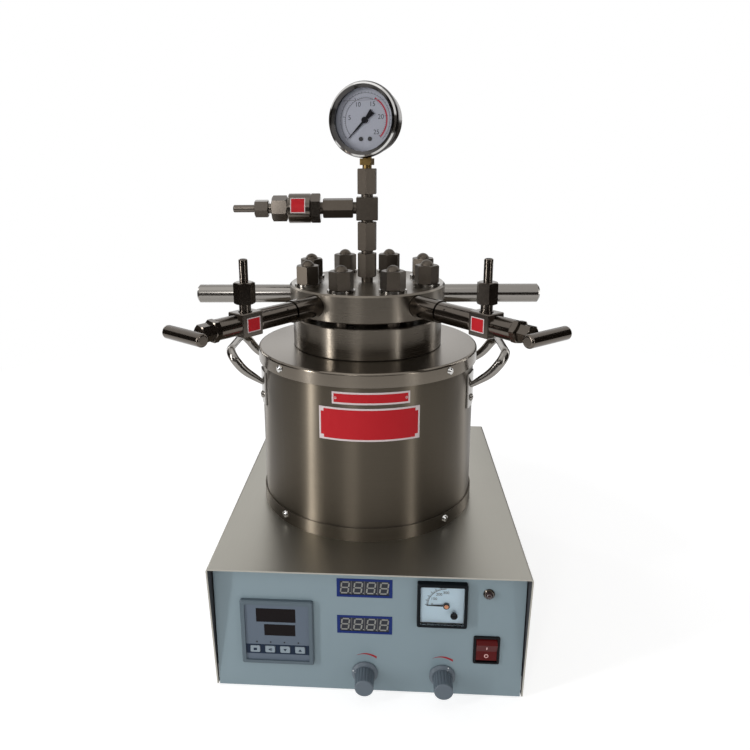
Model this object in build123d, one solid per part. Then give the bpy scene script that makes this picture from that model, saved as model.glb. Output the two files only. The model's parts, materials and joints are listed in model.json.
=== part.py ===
from build123d import *
import os
from math import acos, cos, degrees, radians, sin, sqrt

# Hydrothermal reactor: a magnetically stirred pressure vessel hanging in a round heating
# jacket on a control cabinet. Millimetres, +Z up. The origin is on the bench, straight below
# the vessel's axis; the control panel faces -Y.

# ---- cabinet ---------------------------------------------------------------------------
cabinet_width = 308.0
cabinet_depth = 365.0
cabinet_height = 143.5        # bench to the top of the cover
cabinet_x = 6.0               # the cabinet's centre stands this far from the vessel's axis
cabinet_y = 8.0
cover_sheet = 1.5
cover_lift = 1.5              # lower edge of the cover above the bench
cover_fold_radius = 2.5
visor = 14.0                  # how far the cover's top stands out over the foot of the panel
panel_sheet = 1.5
panel_side_gap = 1.3          # slot between the panel's edge and the cover's side
panel_top_gap = 0.5
cutout_clearance = 0.3             # panel to the body of an instrument
panel_lip = 10.0              # return fold along the panel's lower edge
tray_sheet = 1.5
tray_lift = 8.0               # underside of the tray above the bench, filled by the feet
tray_wall = 16.0
tray_side_gap = 0.4
tray_front_wall = 2.0         # lower than the other walls, clear of the instruments
back_inset = 1.5              # back panel inside the cover's rear edge
foot_radius = 10.0
foot_taper = 1.5
foot_inset_x = 26.0
foot_inset_y = 38.0
vent_slots = 9
vent_pitch = 9.0
vent_width = 4.0
vent_height = 40.0
vent_inset = 99.0                  # middle of the vents from the cabinet's side
vent_z = 85.0
gland_bore_radius = 4.0
gland_radius = 9.0
gland_step = 2.0                   # flange outside the neck
gland_depth = 10.0
gland_flange = 5.0
gland_nose = 15.0
gland_nut_height = 4.0
gland_inset = 44.0
gland_z = 40.0

# ---- control panel (insets from the panel's nearer side, z above the bench) ----------------
controller_inset = 61.8
controller_z = 67.3
controller_size = 72.0
controller_proud = 4.5
controller_border = 4.25
controller_recess = 1.5
controller_body = 66.0
controller_depth = 62.0
upper_window = (39.2, 15.4)
upper_window_at = (-0.9, 19.5)     # from the controller's centre
lower_window = (31.0, 12.9)
lower_window_at = (2.7, 2.8)
window_thickness = 1.0
key_count = 4
key_pitch = 15.0
key_size = (9.8, 7.4)
key_row = -19.3                    # below the controller's centre
key_thickness = 2.6
key_proud = 0.9
key_travel = 0.4
key_clearance = 0.2

display_size = (50.3, 19.0)
display_depth = 9.0
display_ledge = (56.3, 24.0, 3.0)
display_x = -3.0                   # from the panel's middle
display_rows = (118.8, 77.8)
display_sink = 0.3                 # face of a display behind the panel's face

meter_inset = 79.5
meter_z = 105.2
meter_size = 48.0
meter_proud = 6.0
meter_window = 41.6
meter_body_radius = 21.0
meter_depth = 34.0
meter_floor = 1.2                  # dial face above the panel's face
meter_glass = 1.2
meter_pivot = (4.0, -1.2)          # from the meter's centre
meter_needle_length = 19.0
meter_needle_half_width = 0.9
meter_needle_tip = 0.25
meter_needle_thickness = 0.5
meter_hub_radius = 3.2
meter_pivot_radius = 0.6
meter_pivot_depth = 4.0
meter_adjuster_at = (11.2, -9.2)
meter_adjuster_radius = 3.4
meter_adjuster_lip = 0.8           # head outside the stem
meter_adjuster_slot = (0.9, 0.6)   # width and depth

lamp_inset = 35.2
lamp_z = 117.2
lamp_ring_radius = 5.4
lamp_lens_radius = 3.7
lamp_proud = 2.2
lamp_lens_proud = 6.0
lamp_depth = 14.0
lamp_barrel_wall = 0.4

switch_inset = 35.2
switch_z = 54.7
switch_size = (25.5, 31.0)
switch_opening = (20.8, 26.6)
switch_flange = 2.0
switch_depth = 21.0
switch_wall = 0.6
switch_floor = 4.0
rocker_clearance = 0.35
rocker_half_length = 9.9
rocker_tilt = 10.0
rocker_pivot_depth = 5.0
rocker_pin_radius = 1.2
rocker_keel = (4.0, 6.0)           # half width, and depth below the pin
rocker_crown = 3.4                 # ends of the rocker above the panel's face, when level
rocker_dip = 1.4                   # middle of the rocker above the panel's face

speed_knob_x = -2.8                # from the panel's middle
voltage_knob_inset = 77.2
knob_z = 22.4
knob_skirt_radius = 12.9
knob_skirt = 3.0
knob_grip_radius = 9.6
knob_face_radius = 9.2
knob_length = 22.0
knob_gap = 0.5                     # between the skirt and the panel
knob_flutes = 18
knob_flute_depth = 0.7
knob_flute_radius = 1.1
knob_edge = 0.8
knob_nut_pocket = 7.0
shaft_radius = 3.0
running_clearance = 0.05
pot_radius = 8.5
pot_depth = 10.0
pot_bush_radius = 3.9
pot_bush_proud = 2.4
pot_nut = (10.0, 1.8)              # across flats, and height
pot_lugs = (12.0, 9.0, 2.0)
pot_lug_depth = 3.0

# ---- drive under the cover ---------------------------------------------------------------
motor_radius = 28.0
motor_height = 58.0
bracket_width = 92.0
bracket_depth = 64.0
bracket_height = 84.0
bracket_sheet = 2.0
bracket_foot = 14.0
rotor_radius = 34.0
rotor_thickness = 10.0
rotor_gap = 16.0                   # bracket to the rotor's underside
drive_shaft_radius = 4.0
drive_shaft_bore_depth = 34.0
magnet_radius = 9.0
magnet_height = 5.0
magnet_offset = 20.0
board_size = (104.0, 84.0)
board_thickness = 1.6
board_at = (82.0, 92.0)
standoff_height = 8.0
standoff_radius = 3.0
standoff_inset = 6.0
transformer_size = (40.0, 34.0, 30.0)
heat_sink_size = (36.0, 22.0, 24.0)
heat_sink_fins = 5
heat_sink_slot = 4.0
heat_sink_base = 4.0
capacitor_count = 3
capacitor_radius = 5.5
capacitor_height = 16.0

# ---- heating jacket ----------------------------------------------------------------------
jacket_height = 179.5              # cover to the top of the cap
shell_radius = 117.8
shell_sheet = 1.0
cap_clearance = 1.7                # cap's skirt to the shell
cap_sheet = 1.5
cap_skirt = 14.5
cap_edge_radius = 2.5
ring_sheet = 1.2
ring_height = 14.5
ring_clearance = 0.5
insulation_gap = 0.4
insulation_floor = 12.0
heater_bore_gap = 3.0              # vessel to the heater's bore
heater_wall = 6.0
heater_top_gap = 15.6              # heater to the underside of the cap
heater_grooves = 7
heater_groove = 3.0
screw_angles = (45.0, 135.0, 225.0, 315.0)
screw_radius = 2.0
screw_hole_clearance = 0.15
screw_head_radius = 3.9
screw_head_height = 2.6
screw_length = 7.0
cover_screw_rows = (-120.0, 0.0, 120.0)

handle_leg_offset = 39.0           # each leg from the handle's middle
handle_root_drop = 38.0            # legs below the top of the cap
handle_bar_drop = 3.0
handle_reach = 31.2                # crossbar out from the shell
handle_corner_radius = 14.0
handle_bow = 4.7                   # legs curve this far outwards from straight
handle_bow_radius = 45.0
handle_section = (5.2, 3.8)        # half width and half thickness
handle_root_section = (2.6, 2.2)
foot_plate_sheet = 1.6
foot_plate_half_width = 11.0
foot_plate_height = 38.0
foot_plate_drop = 22.5             # upper edge below the top of the cap
foot_plate_clearance = 0.1
rivet_rise = 9.5                   # above the foot plate's lower edge
rivet_radius = 2.4
rivet_head_radius = 4.2
rivet_head_height = 2.4
rivet_length = 5.0

# ---- pressure vessel ---------------------------------------------------------------------
head_turn = 2.0                    # the vessel stands turned this far in the jacket, degrees
chamber_radius = 42.0
vessel_wall = 12.0
vessel_depth = 150.0               # body below the flange
vessel_floor = 14.0
vessel_edge = 4.0
flange_height = 32.7
flange_edge = 1.0
flange_gap = 6.3                   # between the flange and the lid
lid_rim = 16.7                     # stud circle to the lid's edge
lid_overhang = 2.8                 # lid's edge outside the flange's
lid_height = 28.6
lid_chamfer = 1.8
seal_width = 9.0                   # seal's outer edge from the chamber's wall
seal_thickness = 2.0
seal_groove = 1.5
seal_clearance = 0.2
liner_clearance = 0.25
liner_wall = 5.0
liner_rim_drop = 3.0
bar_length = 40.0
bar_radius = 4.5
bar_ring_radius = 5.2
bar_ring_width = 4.0
bar_lift = 0.3
stud_count = 8
stud_inset = 16.9                  # seal's outer edge to the stud circle
stud_radius = 7.0
stud_clearance = 0.1
stud_depth = 24.0                  # screwed into the flange
stud_dome = 5.5
lid_hole_clearance = 0.6
washer_radius = 14.2
washer_height = 2.8
nut_across_flats = 22.5
nut_height = 19.0
nut_chamfer = 1.6

# ---- column and relief arm on the lid (lengths along the line, one after the other) --------
fitting_bore_radius = 2.5
hex_across_flats = 19.0
neck_radius = 6.4
hex_chamfer = 1.4
lid_neck = 5.4                     # lid to the first coupling's hexagon
first_hex = 26.0
middle_neck = 3.0
second_hex = 30.2
tee_neck = 2.2
tee_width = 23.0
tee_height = 24.0
tee_port_rise = 12.6               # side port above the tee's underside
gauge_neck = 3.1
gauge_hex = 26.5
arm_first_neck = 3.5               # tee to the arm's coupling
arm_coupling_hex = 32.0
arm_second_neck = 2.5
arm_hex_length = 10.3
arm_hex_across_flats = 27.0
arm_barrel_length = 23.7
arm_barrel_radius = 15.7
arm_collar_length = 1.5
arm_collar_radius = 11.5
arm_nut_length = 16.4
arm_nut_across_flats = 24.0
arm_gland_neck = 3.8
arm_gland_length = 15.0
arm_gland_across_flats = 17.0
tube_radius = 4.0
tube_bore_radius = 2.6
tube_root_radius = 3.6             # turned down inside its nut
arm_tube_engagement = 12.2         # tube inside its gland nut
arm_tube_reach = 23.3              # tube beyond its gland nut

# ---- side ports, carrying rods and needle valves (lengths outwards along each line) --------
port_rise = 15.2                   # ports above the lid's underside
port_seat_depth = 4.1              # flat seats cut in the lid's side
carry_rod_radius = 10.0
carry_rod_length = 107.5
carry_rod_chamfer = 3.0
spigot_radius = 6.0
spigot_length = 9.0
spigot_clearance = 0.1
seat_clearance = 0.3
passage_radius = 3.0
drop_radius = 2.2                  # upright end of each passage, down into the vessel
passage_inset = 12.0               # that end inside the chamber's wall
valve_angles = (233.5, 309.0)      # directions of the two needle valves
connector_radius = 11.0
connector_length = 37.5
connector_neck = 0.6
collar_radius = 10.0
collar_length = 45.8
weep_hole_radius = 0.9
weep_hole_at = 12.4                # along the collar
collar_gap = 0.1
block_length = 24.0
block_width = 20.0
block_height = 22.0
block_edge = 0.8
bonnet_radius = 9.5
bonnet_length = 22.5
bonnet_hex_length = 6.0
bonnet_across_flats = 18.5
gland_nut_length = 12.0
gland_across_flats = 14.5
spindle_radius = 3.5
spindle_engagement = 4.5           # spindle's shoulder inside the block
spindle_tip = 4.0
grip_gap = 11.0                    # gland nut to the cross bar's centre
grip_radius = 6.0
grip_length = 50.0
grip_offset = 5.0
grip_edge = 2.2
branch_neck = 0.8                  # block to the branch nut's collar
branch_collar = 6.0
branch_nut_length = 20.0
branch_nut_across_flats = 17.0
branch_tube_reach = 20.5           # tube above its nut

# ---- pressure gauge ----------------------------------------------------------------------
gauge_turn = -17.0                 # the dial is turned a little to the left
gauge_rise = 48.3                  # pivot above the column's last coupling
gauge_bezel_radius = 37.7
gauge_window_radius = 31.0
gauge_case_radius = 34.0
gauge_case_back = -17.0            # along the dial's normal, from the stem's axis
gauge_case_front = 10.3
gauge_case_sheet = 1.4
gauge_bezel_back = 8.5
gauge_bezel_front = 16.5
gauge_bezel_lip = 2.0
gauge_dial_at = 5.2
gauge_dial_thickness = 0.8
gauge_dial_clearance = 0.3
gauge_pointer_gap = 1.2
gauge_pointer_thickness = 0.8
gauge_pointer_reach = 25.0
gauge_pointer_tail = 12.0
gauge_pointer_tail_half_width = 3.2
gauge_zero_angle = 225.0           # pointer at rest, anticlockwise from the dial's +X
gauge_pivot_radius = 1.0
gauge_hub_radius = 3.2
stem_square = 12.5
stem_neck_radius = 4.9
stem_neck_height = 3.4
stem_bezel_gap = 0.4
movement_size = (26.0, 22.0)
movement_back = -6.0

# ---- places worked out from the values above ---------------------------------------------
cover_top = cabinet_height
panel_y = -cabinet_depth / 2 + visor          # panel's face from the cabinet's centre
panel_half_width = cabinet_width / 2 - cover_sheet - panel_side_gap
controller_x = controller_inset - panel_half_width
meter_x = panel_half_width - meter_inset
lamp_x = panel_half_width - lamp_inset
switch_x = panel_half_width - switch_inset
knob_x = (speed_knob_x, panel_half_width - voltage_knob_inset)
vent_x = cabinet_width / 2 - vent_inset
gland_x = gland_inset - cabinet_width / 2
tray_half_width = cabinet_width / 2 - cover_sheet - tray_side_gap
tray_front = panel_y + panel_sheet
back_panel_y = cabinet_depth / 2 - back_inset
tray_back = back_panel_y - panel_sheet
tray_floor = tray_lift + tray_sheet
under_cover = cover_top - cover_sheet
cover_screw_z = tray_lift + tray_wall * 0.6
jacket_top = cover_top + jacket_height
cap_radius = shell_radius + cap_clearance + cap_sheet
handle_root_z = jacket_top - handle_root_drop
handle_bar_x = shell_radius + handle_reach
handle_bar_z = jacket_top - handle_bar_drop
foot_plate_top = jacket_top - foot_plate_drop
foot_plate_bottom = foot_plate_top - foot_plate_height
rivet_z = foot_plate_bottom + rivet_rise
vessel_radius = chamber_radius + vessel_wall
heater_bore_radius = vessel_radius + heater_bore_gap
seal_radius = chamber_radius + seal_width
stud_circle = seal_radius + stud_inset
lid_radius = stud_circle + lid_rim
flange_radius = lid_radius - lid_overhang
flange_top = jacket_top + flange_height
lid_bottom = flange_top + flange_gap
lid_top = lid_bottom + lid_height
washer_top = lid_top + washer_height
nut_top = washer_top + nut_height
seal_bottom = flange_top - seal_groove
seal_top = seal_bottom + seal_thickness
vessel_bottom = jacket_top - vessel_depth
chamber_bottom = vessel_bottom + vessel_floor
liner_bottom = chamber_bottom + liner_clearance
liner_top = seal_bottom - liner_rim_drop
liner_radius = chamber_radius - liner_clearance
bar_z = liner_bottom + liner_wall + bar_lift + bar_ring_radius
cap_underside = jacket_top - cap_sheet
port_z = lid_bottom + port_rise
port_face = lid_radius - port_seat_depth
passage_circle = chamber_radius - passage_inset
insulation_bottom = cover_top + insulation_gap
heater_bottom = insulation_bottom + insulation_floor
heater_height = cap_underside - heater_top_gap - heater_bottom
bracket_top = tray_floor + bracket_height
rotor_bottom = bracket_top + rotor_gap
ring_radius = shell_radius + ring_clearance + ring_sheet
cap_screw_z = jacket_top - cap_skirt / 2
ring_screw_z = cover_top + ring_height * 0.62
gauge_pointer_low = gauge_dial_at + gauge_dial_thickness + gauge_pointer_gap

# column: spans of each piece above the lid, as (low, high) heights
first_coupling = (lid_top + lid_neck, lid_top + lid_neck + first_hex)
second_coupling = (first_coupling[1] + middle_neck, first_coupling[1] + middle_neck + second_hex)
tee_span = (second_coupling[1] + tee_neck, second_coupling[1] + tee_neck + tee_height)
tee_port_z = tee_span[0] + tee_port_rise
gauge_coupling = (tee_span[1] + gauge_neck, tee_span[1] + gauge_neck + gauge_hex)
gauge_z = gauge_coupling[1] + gauge_rise

# relief arm: spans out from the column's axis
arm_coupling = (tee_width / 2 + arm_first_neck, tee_width / 2 + arm_first_neck + arm_coupling_hex)
arm_hex = (arm_coupling[1] + arm_second_neck, arm_coupling[1] + arm_second_neck + arm_hex_length)
arm_barrel = (arm_hex[1], arm_hex[1] + arm_barrel_length)
arm_nut = (arm_barrel[1] + arm_collar_length, arm_barrel[1] + arm_collar_length + arm_nut_length)
arm_gland = (arm_nut[1] + arm_gland_neck, arm_nut[1] + arm_gland_neck + arm_gland_length)
arm_tube = (arm_gland[1] - arm_tube_engagement, arm_gland[1] + arm_tube_reach)

# needle valves: spans out from the vessel's axis, and heights of the branch on top
carry_rod_tip = port_face + carry_rod_length
connector_end = port_face + connector_length
collar = (connector_end + connector_neck, connector_end + connector_neck + collar_length)
block = (collar[1] + collar_gap, collar[1] + collar_gap + block_length)
block_middle = (block[0] + block[1]) / 2
bonnet_end = block[1] + bonnet_length
bonnet_hex_end = bonnet_end + bonnet_hex_length
gland_nut_end = bonnet_hex_end + gland_nut_length
grip_at = gland_nut_end + grip_gap
branch_low = port_z + block_height / 2 + branch_neck
branch_nut = (branch_low + branch_collar, branch_low + branch_collar + branch_nut_length)
branch_tube_top = branch_nut[1] + branch_tube_reach


# ---- helpers -----------------------------------------------------------------------------
def panel_place(x, z):
    """A frame on the panel's face: X to the right, Y up, Z straight out of the panel."""
    return Plane(origin=(cabinet_x + x, cabinet_y + panel_y, z), x_dir=(1, 0, 0), z_dir=(0, -1, 0))


def at_cabinet(shape):
    """Move a shape made about the cabinet's centre to its place."""
    return Pos(cabinet_x, cabinet_y, 0) * shape


def on_head(shape):
    """Turn a shape with the vessel and its lid, which stand turned in the jacket."""
    return Rot(0, 0, head_turn) * shape


def post(radius, low, high):
    """A cylinder about Z between two heights."""
    return Pos(0, 0, (low + high) / 2) * Cylinder(radius, high - low)


def pipe(outer, inner, low, high):
    """A tube about Z between two heights."""
    return post(outer, low, high) - post(inner, low - 1, high + 1)


def slab(width, depth, low, high, edge=0.0):
    """A rectangular block about Z between two heights, its upright edges rounded."""
    face = RectangleRounded(width, depth, edge) if edge else Rectangle(width, depth)
    return Pos(0, 0, low) * extrude(face, high - low)


def cone_ends(across_flats, low, high, chamfer):
    """The turned outline that takes the corners off a hexagon's ends."""
    corner = across_flats / sqrt(3)
    outline = Polyline(
        (0, low), (corner - chamfer, low), (corner, low + chamfer / 2),
        (corner, high - chamfer / 2), (corner - chamfer, high), (0, high), close=True,
    )
    return revolve(Plane.XZ * make_face(outline), Axis.Z)


def hexagon(across_flats, low, high, chamfer=0.0, turn=22.0):
    """A hexagonal bar about Z between two heights, with turned ends."""
    flats = RegularPolygon(across_flats / 2, 6, major_radius=False, rotation=turn)
    bar = Pos(0, 0, low) * extrude(flats, high - low)
    return bar & cone_ends(across_flats, low, high, chamfer) if chamfer else bar


def along_x(shape):
    """Lay a shape made about +Z down along +X."""
    return Rot(0, 90, 0) * shape


def turned(*points):
    """A solid of revolution about Z from (radius, height) points."""
    return revolve(Plane.XZ * make_face(Polyline(*points, close=True)), Axis.Z)


def ring_of(count, radius, shape, start=0.0):
    """Copies of a shape around Z."""
    return [Rot(0, 0, start + 360 / count * i) * Pos(radius, 0, 0) * shape for i in range(count)]


def group(shapes, place=None):
    """Separate solids that share one node, each set in place by itself."""
    solids = [solid for shape in shapes for solid in shape.solids()]
    return Compound(children=[place(solid) if place else solid for solid in solids])


# ---- cabinet -----------------------------------------------------------------------------
def cover():
    """Folded sheet: top and two sides, its front edges raked back to the panel's foot."""
    height = cabinet_height - cover_lift
    middle = cover_lift + height / 2
    outside = Pos(0, middle) * RectangleRounded(cabinet_width, height, cover_fold_radius)
    outside += Pos(0, cover_lift + height / 4) * Rectangle(cabinet_width, height / 2)
    inner_width = cabinet_width - 2 * cover_sheet
    inner_radius = cover_fold_radius - cover_sheet
    inside = Pos(0, middle - cover_sheet) * RectangleRounded(inner_width, height, inner_radius)
    inside += Pos(0, cover_lift) * Rectangle(inner_width, height)
    section = outside - inside
    sheet = extrude(Plane.XZ * section, cabinet_depth / 2, both=True)
    front = -cabinet_depth / 2
    rake_top = cover_top - cover_fold_radius
    rake = Polyline(
        (front, rake_top), (panel_y, cover_lift), (panel_y, 0), (front - 1, 0),
        (front - 1, rake_top), close=True,
    )
    sheet -= extrude(Plane.YZ * make_face(rake), cabinet_width, both=True)
    hole = Cylinder(screw_radius + screw_hole_clearance, cabinet_width + 20, rotation=(0, 90, 0))
    for y in cover_screw_rows:
        sheet -= Pos(0, y, cover_screw_z) * hole
    return at_cabinet(sheet)


def base_tray():
    """Folded pan that carries the feet, the panels and the drive."""
    depth = tray_back - tray_front
    middle = (tray_back + tray_front) / 2
    tray = slab(2 * tray_half_width, depth, tray_lift, tray_lift + tray_wall)
    tray -= slab(2 * (tray_half_width - tray_sheet), depth - 2 * tray_sheet, tray_floor,
                 tray_lift + tray_wall + 1)
    tray -= Pos(0, -depth / 2, 0) * slab(
        2 * (tray_half_width - tray_sheet), 4 * tray_sheet, tray_floor + tray_front_wall,
        tray_lift + tray_wall + 1)
    tray = Pos(0, middle, 0) * tray
    hole = Cylinder(screw_radius + screw_hole_clearance, cabinet_width + 20, rotation=(0, 90, 0))
    for y in cover_screw_rows:
        tray -= Pos(0, y, cover_screw_z) * hole
    return at_cabinet(tray)


def front_panel():
    """Painted sheet with a return fold below and an opening for each instrument."""
    height = under_cover - panel_top_gap - cover_lift
    middle = cover_lift + height / 2
    panel = Pos(0, panel_y + panel_sheet / 2, middle) * Box(
        2 * panel_half_width, panel_sheet, height)
    panel += Pos(0, panel_y + panel_lip / 2, cover_lift + panel_sheet / 2) * Box(
        2 * panel_half_width, panel_lip, panel_sheet)
    panel = at_cabinet(panel)
    gap, through = 2 * cutout_clearance, 6 * panel_sheet
    body = controller_body + gap
    cuts = [panel_place(controller_x, controller_z) * Box(body, body, through)]
    for z in display_rows:
        cuts.append(panel_place(display_x, z) * Box(
            display_size[0] + gap, display_size[1] + gap, through))
    cuts.append(panel_place(meter_x, meter_z) * Cylinder(meter_body_radius + cutout_clearance, through))
    cuts.append(panel_place(lamp_x, lamp_z) * Cylinder(
        lamp_lens_radius + running_clearance + lamp_barrel_wall + cutout_clearance, through))
    cuts.append(panel_place(switch_x, switch_z) * Box(
        switch_opening[0] + 2 * switch_wall + gap, switch_opening[1] + 2 * switch_wall + gap, through))
    for x in knob_x:
        cuts.append(panel_place(x, knob_z) * Cylinder(pot_bush_radius + running_clearance, through))
    for cut in cuts:
        panel -= cut
    return panel


def back_panel():
    """Plain sheet with a row of upright vents and the hole for the mains gland."""
    low = cover_lift
    high = under_cover - panel_top_gap
    panel = Pos(0, back_panel_y - panel_sheet / 2, (low + high) / 2) * Box(
        2 * panel_half_width, panel_sheet, high - low)
    slot = SlotOverall(vent_height, vent_width, rotation=90)
    face = Plane(origin=(0, back_panel_y, 0), x_dir=(-1, 0, 0), z_dir=(0, 1, 0))
    start = vent_x - vent_pitch * (vent_slots - 1) / 2
    for i in range(vent_slots):
        at = Pos(-(start + vent_pitch * i), vent_z)
        panel -= extrude(face * at * slot, 10, both=True)
    neck = gland_radius - gland_step
    hole = Cylinder(neck + running_clearance, 2 * gland_depth, rotation=(90, 0, 0))
    panel -= Pos(gland_x, back_panel_y, gland_z) * hole
    return at_cabinet(panel)


def cable_gland():
    """Bushing with a through bore for the mains lead."""
    outer, bore = gland_radius, gland_bore_radius
    neck = gland_radius - gland_step
    body = turned(
        (bore, -gland_depth), (neck, -gland_depth), (neck, 0), (outer, 0), (outer, gland_flange),
        (outer - 1, gland_flange + 1), (outer - 3, gland_nose - 1), (bore + 1, gland_nose),
        (bore, gland_nose),
    )
    lock_nut = hexagon(2 * outer, -panel_sheet - gland_nut_height, -panel_sheet)
    lock_nut -= post(neck - 0.5, -gland_depth, 1)
    place = Plane(origin=(gland_x, back_panel_y, gland_z), x_dir=(-1, 0, 0), z_dir=(0, 1, 0))
    return at_cabinet(place * (body + lock_nut))


def feet():
    """Four rubber feet under the tray's corners, each with a recess for its screw."""
    foot = turned((0, 0), (foot_radius - foot_taper, 0), (foot_radius, tray_lift),
                  (0, tray_lift)) - post(foot_radius * 0.4, -1, tray_lift * 0.4)
    across = cabinet_width / 2 - foot_inset_x
    along = cabinet_depth / 2 - foot_inset_y
    return group([Pos(x, y, 0) * foot for x in (-across, across) for y in (-along, along)],
                 at_cabinet)


def dome_screw():
    """Dome-headed screw about Z; the underside of its head is at zero."""
    head = turned(
        (0, 0), (screw_head_radius, 0), (screw_head_radius * 0.82, screw_head_height * 0.65),
        (screw_head_radius * 0.45, screw_head_height), (0, screw_head_height))
    return head + post(screw_radius, -screw_length, 0)


def sheet_screws():
    """Screws of the cover's sides, of the jacket's cap and of its base ring."""
    screw = dome_screw()
    found = []
    for y in cover_screw_rows:
        for side in (-1, 1):
            place = Pos(side * cabinet_width / 2, y, cover_screw_z) * Rot(0, side * 90, 0)
            found.append(at_cabinet(place * screw))
    for angle in screw_angles:
        for radius, z in ((cap_radius, cap_screw_z), (ring_radius, ring_screw_z)):
            found.append(Rot(0, 0, angle) * Pos(radius, 0, z) * along_x(screw))
    return group(found)


# ---- instruments -------------------------------------------------------------------------
def key_places():
    """Centres of the controller's keys, from the controller's centre."""
    first = -key_pitch * (key_count - 1) / 2
    return [(first + key_pitch * i, key_row) for i in range(key_count)]


controller_floor = controller_proud - controller_recess


def controller_case():
    """Square bezel with a sunk face, two window seats and a well for each key."""
    size = controller_size
    case = slab(size, size, 0, controller_proud, 2.0)
    case = chamfer(case.faces().sort_by(Axis.Z)[-1].edges(), 1.0)
    sunk = size - 2 * controller_border
    case -= slab(sunk, sunk, controller_floor, controller_proud + 1)
    case += slab(controller_body, controller_body, -controller_depth, 0)
    for (width, height), (x, y) in ((upper_window, upper_window_at), (lower_window, lower_window_at)):
        case -= Pos(x, y, 0) * slab(width, height, controller_floor - window_thickness,
                                    controller_floor + 1)
    for x, y in key_places():
        case -= Pos(x, y, 0) * slab(
            key_size[0] + 2 * key_clearance, key_size[1] + 2 * key_clearance,
            controller_floor + key_proud - key_thickness - key_travel - key_clearance,
            controller_floor + 1)
    return panel_place(controller_x, controller_z) * case


def controller_windows():
    """The two dark panes, set flush in the controller's face."""
    panes = []
    for (width, height), (x, y) in ((upper_window, upper_window_at), (lower_window, lower_window_at)):
        panes.append(Pos(x, y, 0) * slab(width - 0.1, height - 0.1,
                                         controller_floor - window_thickness, controller_floor))
    return group(panes, lambda pane: panel_place(controller_x, controller_z) * pane)


def controller_key(index):
    """One push key with a softened front edge."""
    x, y = key_places()[index]
    top = controller_floor + key_proud
    key = slab(key_size[0], key_size[1], top - key_thickness, top, 1.2)
    key = chamfer(key.faces().sort_by(Axis.Z)[-1].edges(), 0.4)
    return panel_place(controller_x, controller_z) * Pos(x, y, 0) * key


def displays():
    """Two four-digit blocks behind their openings, each with a ledge against the panel."""
    width, height = display_size
    unit = slab(width, height, -display_sink - display_depth, -display_sink)
    ledge_width, ledge_height, ledge_thickness = display_ledge
    unit += slab(ledge_width, ledge_height, -panel_sheet - ledge_thickness, -panel_sheet)
    return group([panel_place(display_x, z) * unit for z in display_rows])


meter_glass_top = meter_proud - 0.4
meter_glass_bottom = meter_glass_top - meter_glass


def voltmeter_case():
    """Square meter housing: bezel, open window well and a round body behind the panel."""
    case = slab(meter_size, meter_size, 0, meter_proud, 2.0)
    case = chamfer(case.faces().sort_by(Axis.Z)[-1].edges(), 0.8)
    case -= slab(meter_window, meter_window, meter_floor, meter_proud + 1, 1.0)
    case += post(meter_body_radius, -meter_depth, 0)
    case -= Pos(*meter_pivot, 0) * post(
        meter_pivot_radius + running_clearance, -meter_pivot_depth, meter_floor + 1)
    return panel_place(meter_x, meter_z) * case


def voltmeter_glass():
    """Clear pane with a hole for the zero adjuster."""
    side = meter_window - 0.2
    pane = slab(side, side, meter_glass_bottom, meter_glass_top, 0.9)
    pane -= Pos(*meter_adjuster_at, 0) * post(
        meter_adjuster_radius - meter_adjuster_lip, meter_glass_bottom - 1, meter_glass_top + 1)
    return panel_place(meter_x, meter_z) * pane


def voltmeter_pointer():
    """Thin pointer lying towards -X at zero, with a hub on its pivot."""
    low = meter_floor + 0.9
    root, tip, length = meter_needle_half_width, meter_needle_tip, meter_needle_length
    blade = Polyline((0, -root), (0, root), (-length, tip), (-length, -tip), close=True)
    pointer = Pos(0, 0, low) * extrude(make_face(blade), meter_needle_thickness)
    pointer += post(meter_hub_radius, low - 0.3, low + 1.4)
    pointer += post(meter_pivot_radius, 1 - meter_pivot_depth, low)
    return panel_place(meter_x, meter_z) * Pos(*meter_pivot, 0) * pointer


def voltmeter_adjuster():
    """Slotted zero adjuster turning in the glass."""
    stem = meter_adjuster_radius - meter_adjuster_lip - running_clearance
    low, top = meter_glass_top + 0.2, meter_glass_top + 1.6
    screw = post(stem, meter_glass_bottom - 0.4, low)
    screw += post(meter_adjuster_radius, low, top)
    slot_width, slot_depth = meter_adjuster_slot
    screw -= Pos(0, 0, top) * Box(3 * meter_adjuster_radius, slot_width, 2 * slot_depth)
    return panel_place(meter_x, meter_z) * Pos(*meter_adjuster_at, 0) * screw


def pilot_lamp_ring():
    """Bright bezel and threaded barrel of the pilot lamp."""
    inner = lamp_lens_radius + running_clearance
    barrel = inner + lamp_barrel_wall
    ring = turned(
        (inner, -lamp_depth), (barrel, -lamp_depth), (barrel, 0), (lamp_ring_radius, 0),
        (lamp_ring_radius, lamp_proud * 0.5), (lamp_ring_radius - 0.9, lamp_proud),
        (inner, lamp_proud))
    return panel_place(lamp_x, lamp_z) * ring


def pilot_lamp_lens():
    """Round-nosed lens standing out of its bezel."""
    nose = lamp_lens_radius
    back = 2 - lamp_depth
    profile = make_face([
        Polyline((0, back), (nose, back), (nose, lamp_lens_proud - nose)),
        RadiusArc((nose, lamp_lens_proud - nose), (0, lamp_lens_proud), -nose),
        Line((0, lamp_lens_proud), (0, back)),
    ])
    return panel_place(lamp_x, lamp_z) * revolve(Plane.XZ * profile, Axis.Z)


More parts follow.
